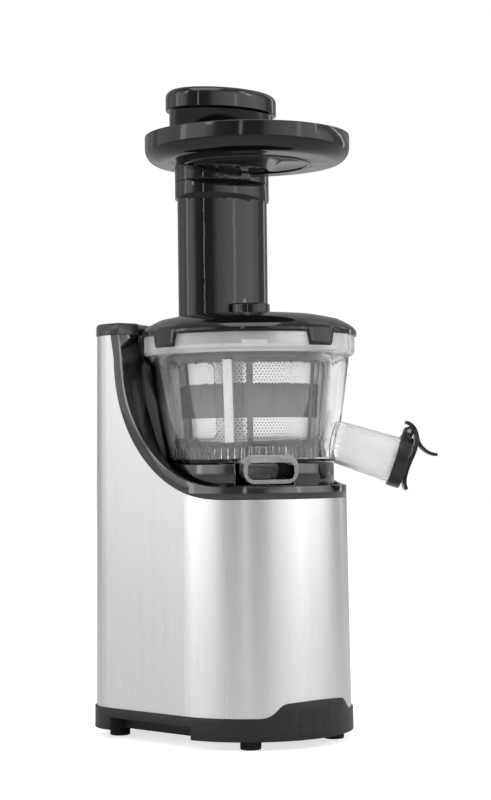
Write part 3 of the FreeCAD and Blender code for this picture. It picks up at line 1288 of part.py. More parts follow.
# Pusher: hollow oval plunger with a two-step head that rests on the floor of the tray
push_long, push_short = size("pusher_half_long"), size("pusher_half_short")
push_low, push_wall = size("pusher_low"), size("pusher_wall")
head_low = tray_low + tray_wall + 0.3
step_z, head_top = size("head_step"), size("head_top")
head_long, head_short, step_in = size("head_half_long"), size("head_half_short"), size("head_step_in")
head_roof = head_top - 3.5
plunger = oval(push_long, push_short, push_low, head_roof, back).cut(
    oval(push_long - push_wall, push_short - push_wall, push_low + push_wall, head_roof + 1, back))
foot_edges = [edge for edge in plunger.Edges if edge.BoundBox.ZMax < push_low + 0.1]
shaped("plunger", plunger.makeFillet(1.6, foot_edges))
head = oval(head_long - step_in, head_short - step_in, head_low, step_z, back)
cap_head = oval(head_long, head_short, step_z, head_top, back)
head_edges = [edge for edge in cap_head.Edges if edge.BoundBox.ZMin > head_top - 0.1]
cap_head = cap_head.makeFillet(5.5, head_edges)
low_edges = [edge for edge in cap_head.Edges if edge.BoundBox.ZMax < step_z + 0.1]
cap_head = cap_head.makeFillet(1.2, low_edges)
inside = oval(head_long - step_in - 3, head_short - step_in - 3, head_low - 1, head_roof, back)
head = head.fuse(cap_head).cut(inside)
shaped("pusher_head", head)

# Checks, then one file for each sub-part
doc.recompute()
faults = [item.Name for item in doc.Objects if "Invalid" in item.State or "Error" in item.State]
for item in PARTS:
    if item.Shape.isNull() or not item.Shape.isValid() or item.Shape.Volume <= 0:
        faults.append(item.Label)
    print("%-18s solids %2d  volume %9.1f" % (item.Label, len(item.Shape.Solids), item.Shape.Volume))
if faults:
    raise RuntimeError("These objects failed: " + ", ".join(faults))
os.makedirs("parts", exist_ok=True)
for item in PARTS:
    item.Shape.exportStep("parts/%s.step" % item.Label)
print(len(PARTS), "sub-parts written")
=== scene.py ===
"""Looks of an upright slow juicer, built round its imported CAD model."""

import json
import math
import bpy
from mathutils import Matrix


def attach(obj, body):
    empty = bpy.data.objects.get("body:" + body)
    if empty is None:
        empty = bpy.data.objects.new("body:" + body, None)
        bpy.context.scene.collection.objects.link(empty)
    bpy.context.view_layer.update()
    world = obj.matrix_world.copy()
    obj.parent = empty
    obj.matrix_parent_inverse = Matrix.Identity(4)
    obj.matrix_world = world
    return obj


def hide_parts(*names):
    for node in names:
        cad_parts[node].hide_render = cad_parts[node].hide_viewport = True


bl_info = {
    "name": "Slow Juicer Looks",
    "version": (1, 0, 0),
    "blender": (4, 5, 0),
    "location": "View3D > Sidebar > Juicer",
    "description": "Finishes, softened edges and a small studio for an upright slow juicer",
    "category": "Object",
}

import bmesh
import bpy
from mathutils import Euler, Matrix, Vector

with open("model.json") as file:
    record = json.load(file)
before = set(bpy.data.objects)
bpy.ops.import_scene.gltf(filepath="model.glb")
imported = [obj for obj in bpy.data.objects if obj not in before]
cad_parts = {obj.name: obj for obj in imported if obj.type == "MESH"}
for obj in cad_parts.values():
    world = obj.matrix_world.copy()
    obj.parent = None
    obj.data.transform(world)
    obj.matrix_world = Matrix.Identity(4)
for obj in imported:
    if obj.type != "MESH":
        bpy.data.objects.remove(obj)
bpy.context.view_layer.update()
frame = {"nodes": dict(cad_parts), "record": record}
NODES = frame["nodes"]
BODIES = frame["record"]["behaviour"]["bodies"]
BODY_OF = {node: body for body, members in BODIES.items() for node in members}
SLOT_OF = {entry["node"]: entry["material_slot"] for entry in frame["record"]["subparts"]}
MM = 0.001
FLANGE_LEVEL = 275.2 * MM  # the strainer's pale flange starts here
RIM_LEVEL = 272.5 * MM  # the bowl's thick rim starts here
RIM_RADIUS = 76.5 * MM  # only the juice spout reaches further out
OUTLET_TOP = 206 * MM
OUTLET_START = 63.0 * MM  # below the top of the pulp outlet, only that outlet reaches further out


# Properties that a user would change

class JuicerColours(bpy.types.PropertyGroup):
    """Colours of the juicer's finishes."""
    steel: bpy.props.FloatVectorProperty(name="Steel", description="Tint of the brushed steel wrap",
                                         subtype="COLOR", size=3, default=(0.66, 0.66, 0.655))
    black: bpy.props.FloatVectorProperty(name="Black gloss", description="Polished black mouldings",
                                         subtype="COLOR", size=3, default=(0.004, 0.004, 0.0045))
    dark: bpy.props.FloatVectorProperty(name="Dark matt", description="Plinth and back panel",
                                        subtype="COLOR", size=3, default=(0.014, 0.014, 0.015))
    clear: bpy.props.FloatVectorProperty(name="Clear", description="Clear plastic of the bowl",
                                         subtype="COLOR", size=3, default=(0.985, 0.990, 0.990))
    smoke: bpy.props.FloatVectorProperty(name="Smoke", description="See-through plastic of the brush cage",
                                         subtype="COLOR", size=3, default=(0.64, 0.65, 0.65))
    silicone: bpy.props.FloatVectorProperty(name="Silicone", description="Wiper blades and seals",
                                            subtype="COLOR", size=3, default=(0.86, 0.86, 0.85))


class JuicerSizes(bpy.types.PropertyGroup):
    """Small sizes of the finish."""
    edge: bpy.props.FloatProperty(name="Edge radius", description="Radius of a moulding's softened edges",
                                  unit="LENGTH", default=0.6 * MM, min=0.0, max=2.0 * MM)
    fine_edge: bpy.props.FloatProperty(name="Fine edge radius", description="Radius on small pieces",
                                       unit="LENGTH", default=0.25 * MM, min=0.0, max=1.0 * MM)
    hole_pitch: bpy.props.FloatProperty(name="Hole pitch", description="Spacing of the strainer's holes",
                                        unit="LENGTH", default=2.3 * MM, min=0.5 * MM, max=4.0 * MM)


class JuicerStudio(bpy.types.PropertyGroup):
    """The studio's lights and floor."""
    key_power: bpy.props.FloatProperty(name="Key power", description="Power of the large lamp overhead",
                                       unit="POWER", default=9.0, min=0.0)
    rim_power: bpy.props.FloatProperty(name="Rim power", description="Power of each narrow lamp",
                                       unit="POWER", default=3.0, min=0.0)
    room_level: bpy.props.FloatProperty(name="Room level", description="Brightness of the room's walls",
                                        default=1.0, min=0.0, max=4.0)
    floor_radius: bpy.props.FloatProperty(name="Floor radius", description="Radius of the pale floor",
                                          unit="LENGTH", default=6.0, min=1.0)


# Node trees

class Tree:
    """Short way to add and join nodes in one tree."""

    def __init__(self, tree):
        self.tree = tree

    def add(self, kind, settings=None, **inputs):
        """A new node; an underscore in an input's name stands for a space, and i2 for input number 2."""
        node = self.tree.nodes.new(kind)
        for name, value in (settings or {}).items():
            setattr(node, name, value)
        for name, value in inputs.items():
            self.put(node, name.replace("_", " "), value)
        return node

    def put(self, node, name, value):
        """Joins or sets one input of a node."""
        socket = node.inputs[int(name[1:])] if name[:1] == "i" and name[1:].isdigit() else node.inputs[name]
        if isinstance(value, bpy.types.NodeSocket):
            self.tree.links.new(value, socket)
        elif isinstance(value, tuple) and len(value) == 3 and socket.type == "RGBA":
            socket.default_value = (*value, 1.0)
        else:
            socket.default_value = value

    def math(self, operation, first, second=0.0, third=None):
        """The result of one Math node."""
        inputs = {"i0": first, "i1": second}
        if third is not None:
            inputs["i2"] = third
        return self.add("ShaderNodeMath", {"operation": operation}, **inputs).outputs[0]

    def span(self, value, low, high, new_low, new_high):
        """A value moved from one range to another and kept inside it."""
        node = self.add("ShaderNodeMapRange", {"clamp": True}, Value=value, From_Min=low, From_Max=high,
                        To_Min=new_low, To_Max=new_high)
        return node.outputs[0]

    def mixed(self, factor, first, second):
        """Two colours mixed by a factor."""
        node = self.add("ShaderNodeMix", {"data_type": "RGBA"})
        self.put(node, "i0", factor)
        self.put(node, "i6", first)
        self.put(node, "i7", second)
        return node.outputs[2]


def new_group(name, inputs, outputs):
    """An empty shader group with number, vector or colour sockets."""
    kinds = {"number": "NodeSocketFloat", "vector": "NodeSocketVector", "colour": "NodeSocketColor"}
    group = bpy.data.node_groups.new(name, "ShaderNodeTree")
    for label, kind, default in inputs:
        socket = group.interface.new_socket(label, in_out="INPUT", socket_type=kinds[kind])
        if default is not None:
            socket.default_value = default
    for label, kind in outputs:
        group.interface.new_socket(label, in_out="OUTPUT", socket_type=kinds[kind])
    tree = Tree(group)
    return tree, tree.add("NodeGroupInput"), tree.add("NodeGroupOutput")


def moulded_grain():
    """Fine spark-eroded grain of a matt moulding."""
    tree, given, result = new_group("Moulded Grain", [
        ("Point", "vector", None), ("Scale", "number", 900.0), ("Low", "number", 0.4),
        ("High", "number", 0.6)], [("Height", "number"), ("Roughness", "number")])
    fine = tree.add("ShaderNodeTexNoise", Vector=given.outputs["Point"], Scale=given.outputs["Scale"],
                    Detail=3.0)
    wide = tree.add("ShaderNodeTexNoise", Vector=given.outputs["Point"], Scale=35.0, Detail=4.0)
    blend = tree.math("MULTIPLY_ADD", fine.outputs[0], 0.35, tree.math("MULTIPLY", wide.outputs[0], 0.65))
    tree.put(result, "Height", fine.outputs[0])
    rough = tree.add("ShaderNodeMapRange", Value=blend, From_Min=0.35, From_Max=0.65,
                     To_Min=given.outputs["Low"], To_Max=given.outputs["High"])
    tree.put(result, "Roughness", rough.outputs[0])
    return tree.tree


def polish_marks():
    """Faint wipe marks and dust on a polished surface."""
    tree, given, result = new_group("Polish Marks", [
        ("Point", "vector", None), ("Low", "number", 0.05), ("High", "number", 0.12)],
        [("Height", "number"), ("Roughness", "number"), ("Dust", "number")])
    stretched = tree.add("ShaderNodeMapping", Vector=given.outputs["Point"], Scale=(1.0, 1.0, 0.25))
    wipes = tree.add("ShaderNodeTexNoise", Vector=stretched.outputs[0], Scale=48.0, Detail=5.0,
                     Roughness=0.6)
    waves = tree.add("ShaderNodeTexNoise", Vector=given.outputs["Point"], Scale=14.0, Detail=2.0)
    specks = tree.add("ShaderNodeTexVoronoi", Vector=given.outputs["Point"], Scale=420.0)
    rough = tree.add("ShaderNodeMapRange", Value=wipes.outputs[0], From_Min=0.35, From_Max=0.7,
                     To_Min=given.outputs["Low"], To_Max=given.outputs["High"])
    tree.put(result, "Height", waves.outputs[0])
    tree.put(result, "Roughness", rough.outputs[0])
    tree.put(result, "Dust", tree.span(specks.outputs["Distance"], 0.0, 0.09, 1.0, 0.0))
    return tree.tree


def brushed_lines():
    """Long fine lines of brushed metal that run along Z."""
    tree, given, result = new_group("Brushed Lines", [
        ("Point", "vector", None), ("Lines", "number", 1400.0), ("Low", "number", 0.25),
        ("High", "number", 0.4)], [("Height", "number"), ("Roughness", "number"), ("Shade", "number")])
    squeezed = tree.add("ShaderNodeMapping", Vector=given.outputs["Point"], Scale=(1.0, 1.0, 0.006))
    lines = tree.add("ShaderNodeTexNoise", Vector=squeezed.outputs[0], Scale=given.outputs["Lines"],
                     Detail=4.0)
    drawn = tree.add("ShaderNodeMapping", Vector=given.outputs["Point"], Scale=(1.0, 1.0, 0.05))
    bands = tree.add("ShaderNodeTexNoise", Vector=drawn.outputs[0], Scale=160.0, Detail=3.0)
    both = tree.math("MULTIPLY_ADD", lines.outputs[0], 0.7, tree.math("MULTIPLY", bands.outputs[0], 0.3))
    rough = tree.add("ShaderNodeMapRange", Value=both, From_Min=0.35, From_Max=0.65,
                     To_Min=given.outputs["Low"], To_Max=given.outputs["High"])
    tree.put(result, "Height", lines.outputs[0])
    tree.put(result, "Roughness", rough.outputs[0])
    tree.put(result, "Shade", tree.span(both, 0.3, 0.7, 0.97, 1.0))
    return tree.tree


ROW_SHARE = 0.866  # rows of staggered holes lie this share of the pitch apart


def pierced_sheet():
    """Staggered round holes on a drum about the Z axis."""
    tree, given, result = new_group("Pierced Sheet", [
        ("Point", "vector", None), ("Radius", "number", 0.049), ("Pitch", "number", 0.0015),
        ("Hole", "number", 0.24)], [("Solid", "number"), ("Height", "number")])
    parts = tree.add("ShaderNodeSeparateXYZ", Vector=given.outputs["Point"])
    angle = tree.math("ARCTAN2", parts.outputs[1], parts.outputs[0])
    arc = tree.math("MULTIPLY", angle, given.outputs["Radius"])
    across = tree.math("DIVIDE", arc, given.outputs["Pitch"])
    row_height = tree.math("MULTIPLY", given.outputs["Pitch"], ROW_SHARE)
    up = tree.math("DIVIDE", parts.outputs[2], row_height)
    row = tree.math("FLOOR", up)
    shift = tree.math("MULTIPLY", tree.math("MODULO", row, 2.0), 0.5)
    column = tree.math("SUBTRACT", tree.math("FRACT", tree.math("ADD", across, shift)), 0.5)
    line = tree.math("MULTIPLY", tree.math("SUBTRACT", tree.math("FRACT", up), 0.5), ROW_SHARE)
    distance = tree.math("SQRT", tree.math("ADD", tree.math("MULTIPLY", column, column),
                                           tree.math("MULTIPLY", line, line)))
    edge = tree.math("SUBTRACT", distance, given.outputs["Hole"])
    tree.put(result, "Solid", tree.span(edge, -0.02, 0.02, 0.0, 1.0))
    tree.put(result, "Height", tree.span(edge, 0.0, 0.12, 0.0, 1.0))
    return tree.tree


GROUPS = {}


def group_of(maker):
    """A shared group, built the first time that a material asks for it."""
    if maker.__name__ not in GROUPS:
        GROUPS[maker.__name__] = maker()
    return GROUPS[maker.__name__]


class Finish:
    """A material with its Principled shader and a point in the piece's own space."""

    def __init__(self, name, colour, metallic=0.0, roughness=0.4, **plain):
        self.material = bpy.data.materials.new(name)
        self.material.use_nodes = True
        self.material.node_tree.nodes.clear()
        self.tree = Tree(self.material.node_tree)
        output = self.tree.add("ShaderNodeOutputMaterial")
        self.shader = self.tree.add("ShaderNodeBsdfPrincipled", Base_Color=tuple(colour), Metallic=metallic,
                                    Roughness=roughness)
        for label, value in plain.items():
            self.tree.put(self.shader, label.replace("_", " "), value)
        self.tree.put(output, "Surface", self.shader.outputs[0])
        self.point = self.tree.add("ShaderNodeTexCoord").outputs["Object"]
        self.material.diffuse_color = (*colour, 1.0)

    def group(self, maker, **inputs):
        node = self.tree.add("ShaderNodeGroup", {"node_tree": group_of(maker)})
        self.tree.put(node, "Point", self.point)
        for label, value in inputs.items():
            self.tree.put(node, label, value)
        return node

    def feed(self, label, value):
        self.tree.put(self.shader, label, value)

    def bump(self, height, strength, depth):
        bump = self.tree.add("ShaderNodeBump", Height=height, Strength=strength, Distance=depth)
        self.feed("Normal", bump.outputs[0])


def grained(name, colour, low=0.42, high=0.58, scale=900.0, depth=0.00004, **plain):
    """Matt moulded plastic, rubber or cast metal."""
    finish = Finish(name, colour, **plain)
    grain = finish.group(moulded_grain, Scale=scale, Low=low, High=high)
    tone = finish.tree.span(grain.outputs["Height"], 0.3, 0.7, 0.0, 1.0)
    lighter = tuple(min(1.0, part * 1.18 + 0.002) for part in colour)
    finish.feed("Base Color", finish.tree.mixed(tone, tuple(colour), lighter))
    finish.feed("Roughness", grain.outputs["Roughness"])
    finish.bump(grain.outputs["Height"], 0.35, depth)
    return finish.material


def polished(name, colour, low=0.04, high=0.13, dust=0.008, specular=0.42, **plain):
    """Polished moulding with faint wipe marks and a little dust."""
    finish = Finish(name, colour, Specular_IOR_Level=specular, **plain)
    marks = finish.group(polish_marks, Low=low, High=high)
    dusty = tuple(part + dust for part in colour)
    finish.feed("Base Color", finish.tree.mixed(marks.outputs["Dust"], tuple(colour), dusty))
    finish.feed("Roughness", marks.outputs["Roughness"])
    finish.bump(marks.outputs["Height"], 0.04, 0.0004)
    return finish.material


def banded(name, colour, upper, level, low, high):
    """Polished moulding with a metal sheen that is paler above a level."""
    finish = Finish(name, colour, metallic=0.7)
    marks = finish.group(polish_marks, Low=low, High=high)
    parts = finish.tree.add("ShaderNodeSeparateXYZ", Vector=finish.point)
    above = finish.tree.span(parts.outputs[2], level, level + 0.0005, 0.0, 1.0)
    finish.feed("Base Color", finish.tree.mixed(above, tuple(colour), upper))
    finish.feed("Metallic", finish.tree.span(above, 0.0, 1.0, 0.7, 0.0))
    finish.feed("Roughness", marks.outputs["Roughness"])
    return finish.material


def brushed(name, colour, low=0.27, high=0.31, lines=1400.0):
    """Brushed or ground metal."""
    finish = Finish(name, colour, metallic=1.0)
    marks = finish.group(brushed_lines, Lines=lines, Low=low, High=high)
    darker = tuple(part * 0.965 for part in colour)
    shade = finish.tree.span(marks.outputs["Shade"], 0.97, 1.0, 0.0, 1.0)
    finish.feed("Base Color", finish.tree.mixed(shade, darker, tuple(colour)))
    finish.feed("Roughness", marks.outputs["Roughness"])
    finish.bump(marks.outputs["Height"], 0.03, 0.000006)
    return finish.material


def see_through(name, colour, low=0.0, high=0.03, transmission=1.0):
    """Clear or smoked plastic."""
    finish = Finish(name, colour, Transmission_Weight=transmission, IOR=1.46)
    marks = finish.group(polish_marks, Low=low, High=high)
    finish.feed("Roughness", marks.outputs["Roughness"])
    finish.bump(marks.outputs["Height"], 0.02, 0.0003)
    return finish.material


def pierced(name, colour, pitch):
    """Thin steel sheet with fine staggered holes."""
    finish = Finish(name, colour, metallic=1.0, roughness=0.3)
    holes = finish.group(pierced_sheet, Pitch=pitch)
    marks = finish.group(brushed_lines, Lines=700.0, Low=0.38, High=0.5)
    finish.feed("Roughness", marks.outputs["Roughness"])
    finish.feed("Alpha", holes.outputs["Solid"])
    finish.bump(holes.outputs["Height"], 0.4, 0.0001)
    return finish.material


def finishes(colours, sizes):
    """One material for each slot of the record."""
    black, dark = tuple(colours.black), tuple(colours.dark)
    return {
        "brushed_wrap": brushed("brushed wrap", tuple(colours.steel)),
        "dark_panel": grained("dark panel", dark, Specular_IOR_Level=0.3),
        "black_gloss": polished("black gloss", black, low=0.08, high=0.16, specular=0.95),
        "smoke_cap": polished("smoke cap", (0.03, 0.03, 0.032), low=0.16, high=0.26),
        "dark_plinth": grained("dark plinth", dark, low=0.34, high=0.46, Specular_IOR_Level=0.25),
        "foot_rubber": grained("foot rubber", (0.012, 0.012, 0.012), low=0.6, high=0.8, scale=500.0,
                               Specular_IOR_Level=0.2),
        "screw_steel": brushed("screw steel", (0.6, 0.6, 0.61), lines=900.0),
        "gear_steel": grained("sintered steel", (0.33, 0.33, 0.34), low=0.35, high=0.5, Metallic=1.0),
        "shaft_steel": brushed("shaft steel", (0.62, 0.62, 0.63), low=0.16, high=0.26),
        "gear_nylon": grained("gear nylon", (0.8, 0.79, 0.74), low=0.3, high=0.42, scale=600.0),
        "gearbox_grey": grained("gearbox grey", (0.17, 0.17, 0.18)),
        "plate_metal": grained("cast plate", (0.58, 0.58, 0.58), low=0.35, high=0.5, scale=450.0,
                               Metallic=1.0),
        "bronze": grained("bronze", (0.56, 0.4, 0.21), low=0.3, high=0.45, Metallic=1.0),
        "seal_rubber": grained("seal rubber", (0.02, 0.02, 0.02), low=0.5, high=0.65),
        "motor_steel": grained("zinc can", (0.4, 0.41, 0.43), low=0.28, high=0.42, scale=120.0,
                               Metallic=1.0),
        "core_iron": brushed("core sheets", (0.28, 0.28, 0.3), low=0.4, high=0.55, lines=2600.0),
        "copper": brushed("enamelled wire", (0.72, 0.33, 0.16), low=0.2, high=0.3, lines=2000.0),
        "button_black": polished("button black", (0.016, 0.016, 0.016), low=0.2, high=0.3),
        "board_green": polished("board lacquer", (0.02, 0.16, 0.06), low=0.18, high=0.3),
        "capacitor_yellow": polished("capacitor", (0.72, 0.5, 0.08), low=0.2, high=0.3),
        "clear_bowl": see_through("clear bowl", tuple(colours.clear)),
        "silicone_white": grained("silicone", tuple(colours.silicone), low=0.45, high=0.6, scale=300.0),
        "cage_smoke": see_through("cage smoke", tuple(colours.smoke), low=0.02, high=0.06),
        "strainer_dark": banded("strainer dark", (0.16, 0.16, 0.165), (0.62, 0.63, 0.63), FLANGE_LEVEL,
                                low=0.10, high=0.18),
        "mesh_steel": pierced("pierced steel", (0.9, 0.9, 0.89), sizes.hole_pitch),
        "auger_dark": polished("auger dark", (0.05, 0.048, 0.047), low=0.25, high=0.38),
        "cap_black": polished("cap black", (0.014, 0.014, 0.015), low=0.15, high=0.25),
        "lid_black": polished("lid black", black),
        "tray_black": polished("tray black", black),
    }


# Shapes

WELD_DISTANCE = 1e-6  # vertices closer than this are one
FLAT_ANGLE = math.radians(0.4)  # faces closer to one plane than this are joined
SHARP_ANGLE = math.radians(28.0)  # edges sharper than this are rounded
SHADING_ANGLE = math.radians(38.0)  # edges sharper than this stay crisp in the shading


def softened(node, width, segments=2):
    """A copy of a CAD node whose sharp edges are rounded; it stands for the node."""
    mesh = NODES[node].data.copy()
    shape = bmesh.new()
    shape.from_mesh(mesh)
    bmesh.ops.remove_doubles(shape, verts=shape.verts, dist=WELD_DISTANCE)
    bmesh.ops.dissolve_limit(shape, angle_limit=FLAT_ANGLE, verts=shape.verts, edges=shape.edges,
                             delimit=set())
    sharp = [edge for edge in shape.edges if edge.is_manifold and edge.calc_face_angle(0.0) > SHARP_ANGLE]
    if width > 0.0 and sharp:
        bmesh.ops.bevel(shape, geom=sharp, offset=width, offset_type="OFFSET", segments=segments,
                        profile=0.5, affect="EDGES", clamp_overlap=True, material=-1)
    for face in shape.faces:
        face.smooth = True
    shape.to_mesh(mesh)
    shape.free()
    mesh.set_sharp_from_angle(angle=SHADING_ANGLE)
    piece = bpy.data.objects.new(node + "_soft", mesh)
    bpy.context.scene.collection.objects.link(piece)
    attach(piece, BODY_OF[node])
    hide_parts(node)
    return piece


MATERIALS = {}


def dress(piece, slot):
    """Gives a piece the finish of a slot."""
    if not MATERIALS:
        scene = bpy.context.scene
        MATERIALS.update(finishes(scene.juicer_colours, scene.juicer_sizes))
    piece.data.materials.clear()
    piece.data.materials.append(MATERIALS[slot])


def dress_nodes(names):
    """Gives nodes of the model their finish as they are."""
    for name in names:
        dress(NODES[name], SLOT_OF[name])


def soften_nodes(names, width):
    """Puts softened, finished copies in the place of nodes."""
    for name in names:
        dress(softened(name, width), SLOT_OF[name])


class JuicerOperator:
    """Shared settings of the operators."""
    bl_options = {"REGISTER", "UNDO"}

    def execute(self, context):
        self.make(context.scene)
        return {"FINISHED"}


class JUICER_OT_body(JuicerOperator, bpy.types.Operator):
    """Steel wrap, deck, column, plinth, feet and back panel"""
    bl_idname = "juicer.body"
    bl_label = "Body"

    def make(self, scene):
        sizes = scene.juicer_sizes
        soften_nodes(["deck_and_column", "column_cap", "plinth"], sizes.edge)
        soften_nodes(["back_panel", "bowl_seat"], sizes.fine_edge)
        dress_nodes(["metal_wrap", "bottom_cover", "rubber_feet", "cover_screws"])


class JUICER_OT_controls(JuicerOperator, bpy.types.Operator):
    """Switch, cord inlet and the wiring inside the back"""
    bl_idname = "juicer.controls"
    bl_label = "Controls"

    def make(self, scene):
        soften_nodes(["switch_body", "rocker_button", "cord_inlet"], scene.juicer_sizes.fine_edge)
        dress_nodes(["circuit_board", "board_posts", "run_capacitor", "interlock_sensor"])


class JUICER_OT_drive(JuicerOperator, bpy.types.Operator):
    """Motor, reduction gears and drive shaft"""
    bl_idname = "juicer.drive"
    bl_label = "Drive"

    def make(self, scene):
        dress_nodes(["output_gear", "drive_shaft", "second_gear", "first_gear", "gear_axles"])
        dress_nodes(["gearbox_housing", "gearbox_plate", "shaft_bushes", "shaft_seal", "gearbox_screws"])
        dress_nodes(["motor_can", "motor_end_bell", "stator_core", "stator_coils", "rotor_core",
                     "motor_shaft", "motor_fan", "motor_bearings"])


class JUICER_OT_bowl(JuicerOperator, bpy.types.Operator):
    """Clear bowl with its spout and pulp outlet"""
    bl_idname = "juicer.bowl"
    bl_label = "Bowl"

    def make(self, scene):
        bowl = softened("bowl", scene.juicer_sizes.edge, 3)
        dress(bowl, "clear_bowl")
        clear = tuple(scene.juicer_colours.clear)
        thick = see_through("clear bowl, thick", clear, low=0.18, high=0.26, transmission=0.78)
        bowl.data.materials.append(thick)
        for face in bowl.data.polygons:
            middle = face.center
            reach = math.hypot(middle.x, middle.y)
            outlet = middle.z < OUTLET_TOP and reach > OUTLET_START
            face.material_index = int(middle.z > RIM_LEVEL or reach > RIM_RADIUS or outlet)
        dress_nodes(["drive_seal", "idler_pins", "idler_gear_1", "idler_gear_2"])


class JUICER_OT_press(JuicerOperator, bpy.types.Operator):
    """Brush cage, strainer and auger"""
    bl_idname = "juicer.press"
    bl_label = "Press"

    def make(self, scene):
        soften_nodes(["brush_cage", "wiper_blades", "strainer_frame"], scene.juicer_sizes.fine_edge)
        dress_nodes(["strainer_mesh", "auger", "sun_gear", "hex_socket"])


class JUICER_OT_spout_cap(JuicerOperator, bpy.types.Operator):
    """Ring, flap, plug and pin of the spout's cap"""
    bl_idname = "juicer.spout_cap"
    bl_label = "Spout Cap"

    def make(self, scene):
        soften_nodes(["cap_ring", "cap_flap"], scene.juicer_sizes.fine_edge)
        dress_nodes(["cap_plug", "cap_pin"])


class JUICER_OT_lid(JuicerOperator, bpy.types.Operator):
    """Lid with its chute, gasket and bearing"""
    bl_idname = "juicer.lid"
    bl_label = "Lid"

    def make(self, scene):
        soften_nodes(["lid"], scene.juicer_sizes.edge)
        dress_nodes(["lid_magnet", "lid_gasket", "auger_bush"])


class JUICER_OT_hopper(JuicerOperator, bpy.types.Operator):
    """Hopper tray and pusher"""
    bl_idname = "juicer.hopper"
    bl_label = "Hopper"

    def make(self, scene):
        soften_nodes(["tray", "plunger", "pusher_head"], scene.juicer_sizes.edge)


# Studio

# Brightness of the room's walls by heading, in degrees from the machine's front towards its right
ROOM_WALLS = (
    (-180, 0.55), (-174, 0.80), (-166, 0.50), (-152, 1.30), (-128, 1.50), (-120, 1.80), (-118, 5.0),
    (-113, 5.0), (-110, 2.8), (-92, 2.8), (-82, 1.90), (-72, 0.50), (-49.0, 0.32), (-48.2, 5.0),
    (-45.8, 5.0), (-45.0, 0.32), (-28, 0.38), (-10, 1.90), (8, 2.6), (17, 2.7), (18, 4.6), (21, 4.6),
    (22, 2.7), (50, 2.7), (66, 1.60), (78, 0.50), (94, 0.45), (96, 2.4), (100, 2.4), (102, 0.45),
    (140, 0.42), (180, 0.55))
CEILING_LEVEL = 0.75
CEILING_START, CEILING_END = 0.35, 0.75  # rise of the line of sight at which walls turn into ceiling

# The photograph's view: the camera stands to the machine's left front and looks level
PHOTO_HEIGHT_PX = 800.0
FOCAL_PX = 1960.0
AXIS_LEFT_PX = -5.0  # the view's centre against the machine's axis
HORIZON_DOWN_PX = 55.0
VIEW_HEADING = math.radians(40.0)
VIEW_ROLL = -0.0113
VIEW_DISTANCE = 1.4
EYE_HEIGHT = 0.2016
SENSOR_WIDTH = 36.0

# Lamps: name, place, height on the axis that it points at, width, height and the setting of its power
LAMPS = (
    ("overhead", (-0.25, -0.35, 1.7), 0.2, 1.0, 1.0, "key_power"),
    ("left strip", (-1.5, -0.2, 1.3), 0.4, 0.25, 1.0, "rim_power"),
    ("right strip", (1.0, -1.1, 1.3), 0.4, 0.25, 1.0, "rim_power"))


def room_light(scene):
    """A pale room: soft bright panels to the left and the right, greyer between them."""
    world = bpy.data.worlds.new("Studio Room")
    world.use_nodes = True
    world.node_tree.nodes.clear()
    scene.world = world
    tree = Tree(world.node_tree)
    way = tree.add("ShaderNodeTexCoord").outputs["Generated"]
    parts = tree.add("ShaderNodeSeparateXYZ", Vector=way)
    heading = tree.math("ARCTAN2", parts.outputs[0], tree.math("MULTIPLY", parts.outputs[1], -1.0))
    turn = tree.span(heading, -math.pi, math.pi, 0.0, 1.0)
    ramp = tree.add("ShaderNodeValToRGB", Fac=turn)
    ramp.color_ramp.interpolation = "EASE"
    stops = ramp.color_ramp.elements
    while len(stops) > 1:
        stops.remove(stops[-1])
    brightest = max(level for _, level in ROOM_WALLS)
    for index, (angle, level) in enumerate(ROOM_WALLS):
        spot = stops[0] if index == 0 else stops.new((angle + 180.0) / 360.0)
        spot.position = (angle + 180.0) / 360.0
        spot.color = (level / brightest,) * 3 + (1.0,)
    walls = tree.math("MULTIPLY", ramp.outputs[0], brightest)
    ceiling = tree.span(parts.outputs[2], CEILING_START, CEILING_END, 0.0, 1.0)
    level = tree.math("ADD", tree.math("MULTIPLY", walls, tree.math("SUBTRACT", 1.0, ceiling)),
                      tree.math("MULTIPLY", ceiling, CEILING_LEVEL))
    scaled = tree.math("MULTIPLY", level, scene.juicer_studio.room_level)
    room = tree.add("ShaderNodeBackground", Strength=scaled)
    white = tree.add("ShaderNodeBackground", Color=(1.0, 1.0, 1.0), Strength=1.0)
    path = tree.add("ShaderNodeLightPath")
    seen = tree.math("MAXIMUM", path.outputs["Is Camera Ray"], path.outputs["Is Transmission Ray"])
    mix = tree.add("ShaderNodeMixShader", i0=seen, i1=room.outputs[0], i2=white.outputs[0])
    tree.put(tree.add("ShaderNodeOutputWorld"), "Surface", mix.outputs[0])


def lamp(scene, name, place, aim_height, width, height, power):
    """A rectangular lamp that points at the machine's axis."""
    light = bpy.data.lights.new(name, "AREA")
    light.shape = "RECTANGLE"
    light.size = width
    light.size_y = height
    light.energy = power
    holder = bpy.data.objects.new(name, light)
    scene.collection.objects.link(holder)
    holder.location = place
    aim = Vector((0.0, 0.0, aim_height)) - Vector(place)
    holder.rotation_euler = aim.to_track_quat("-Z", "Y").to_euler()


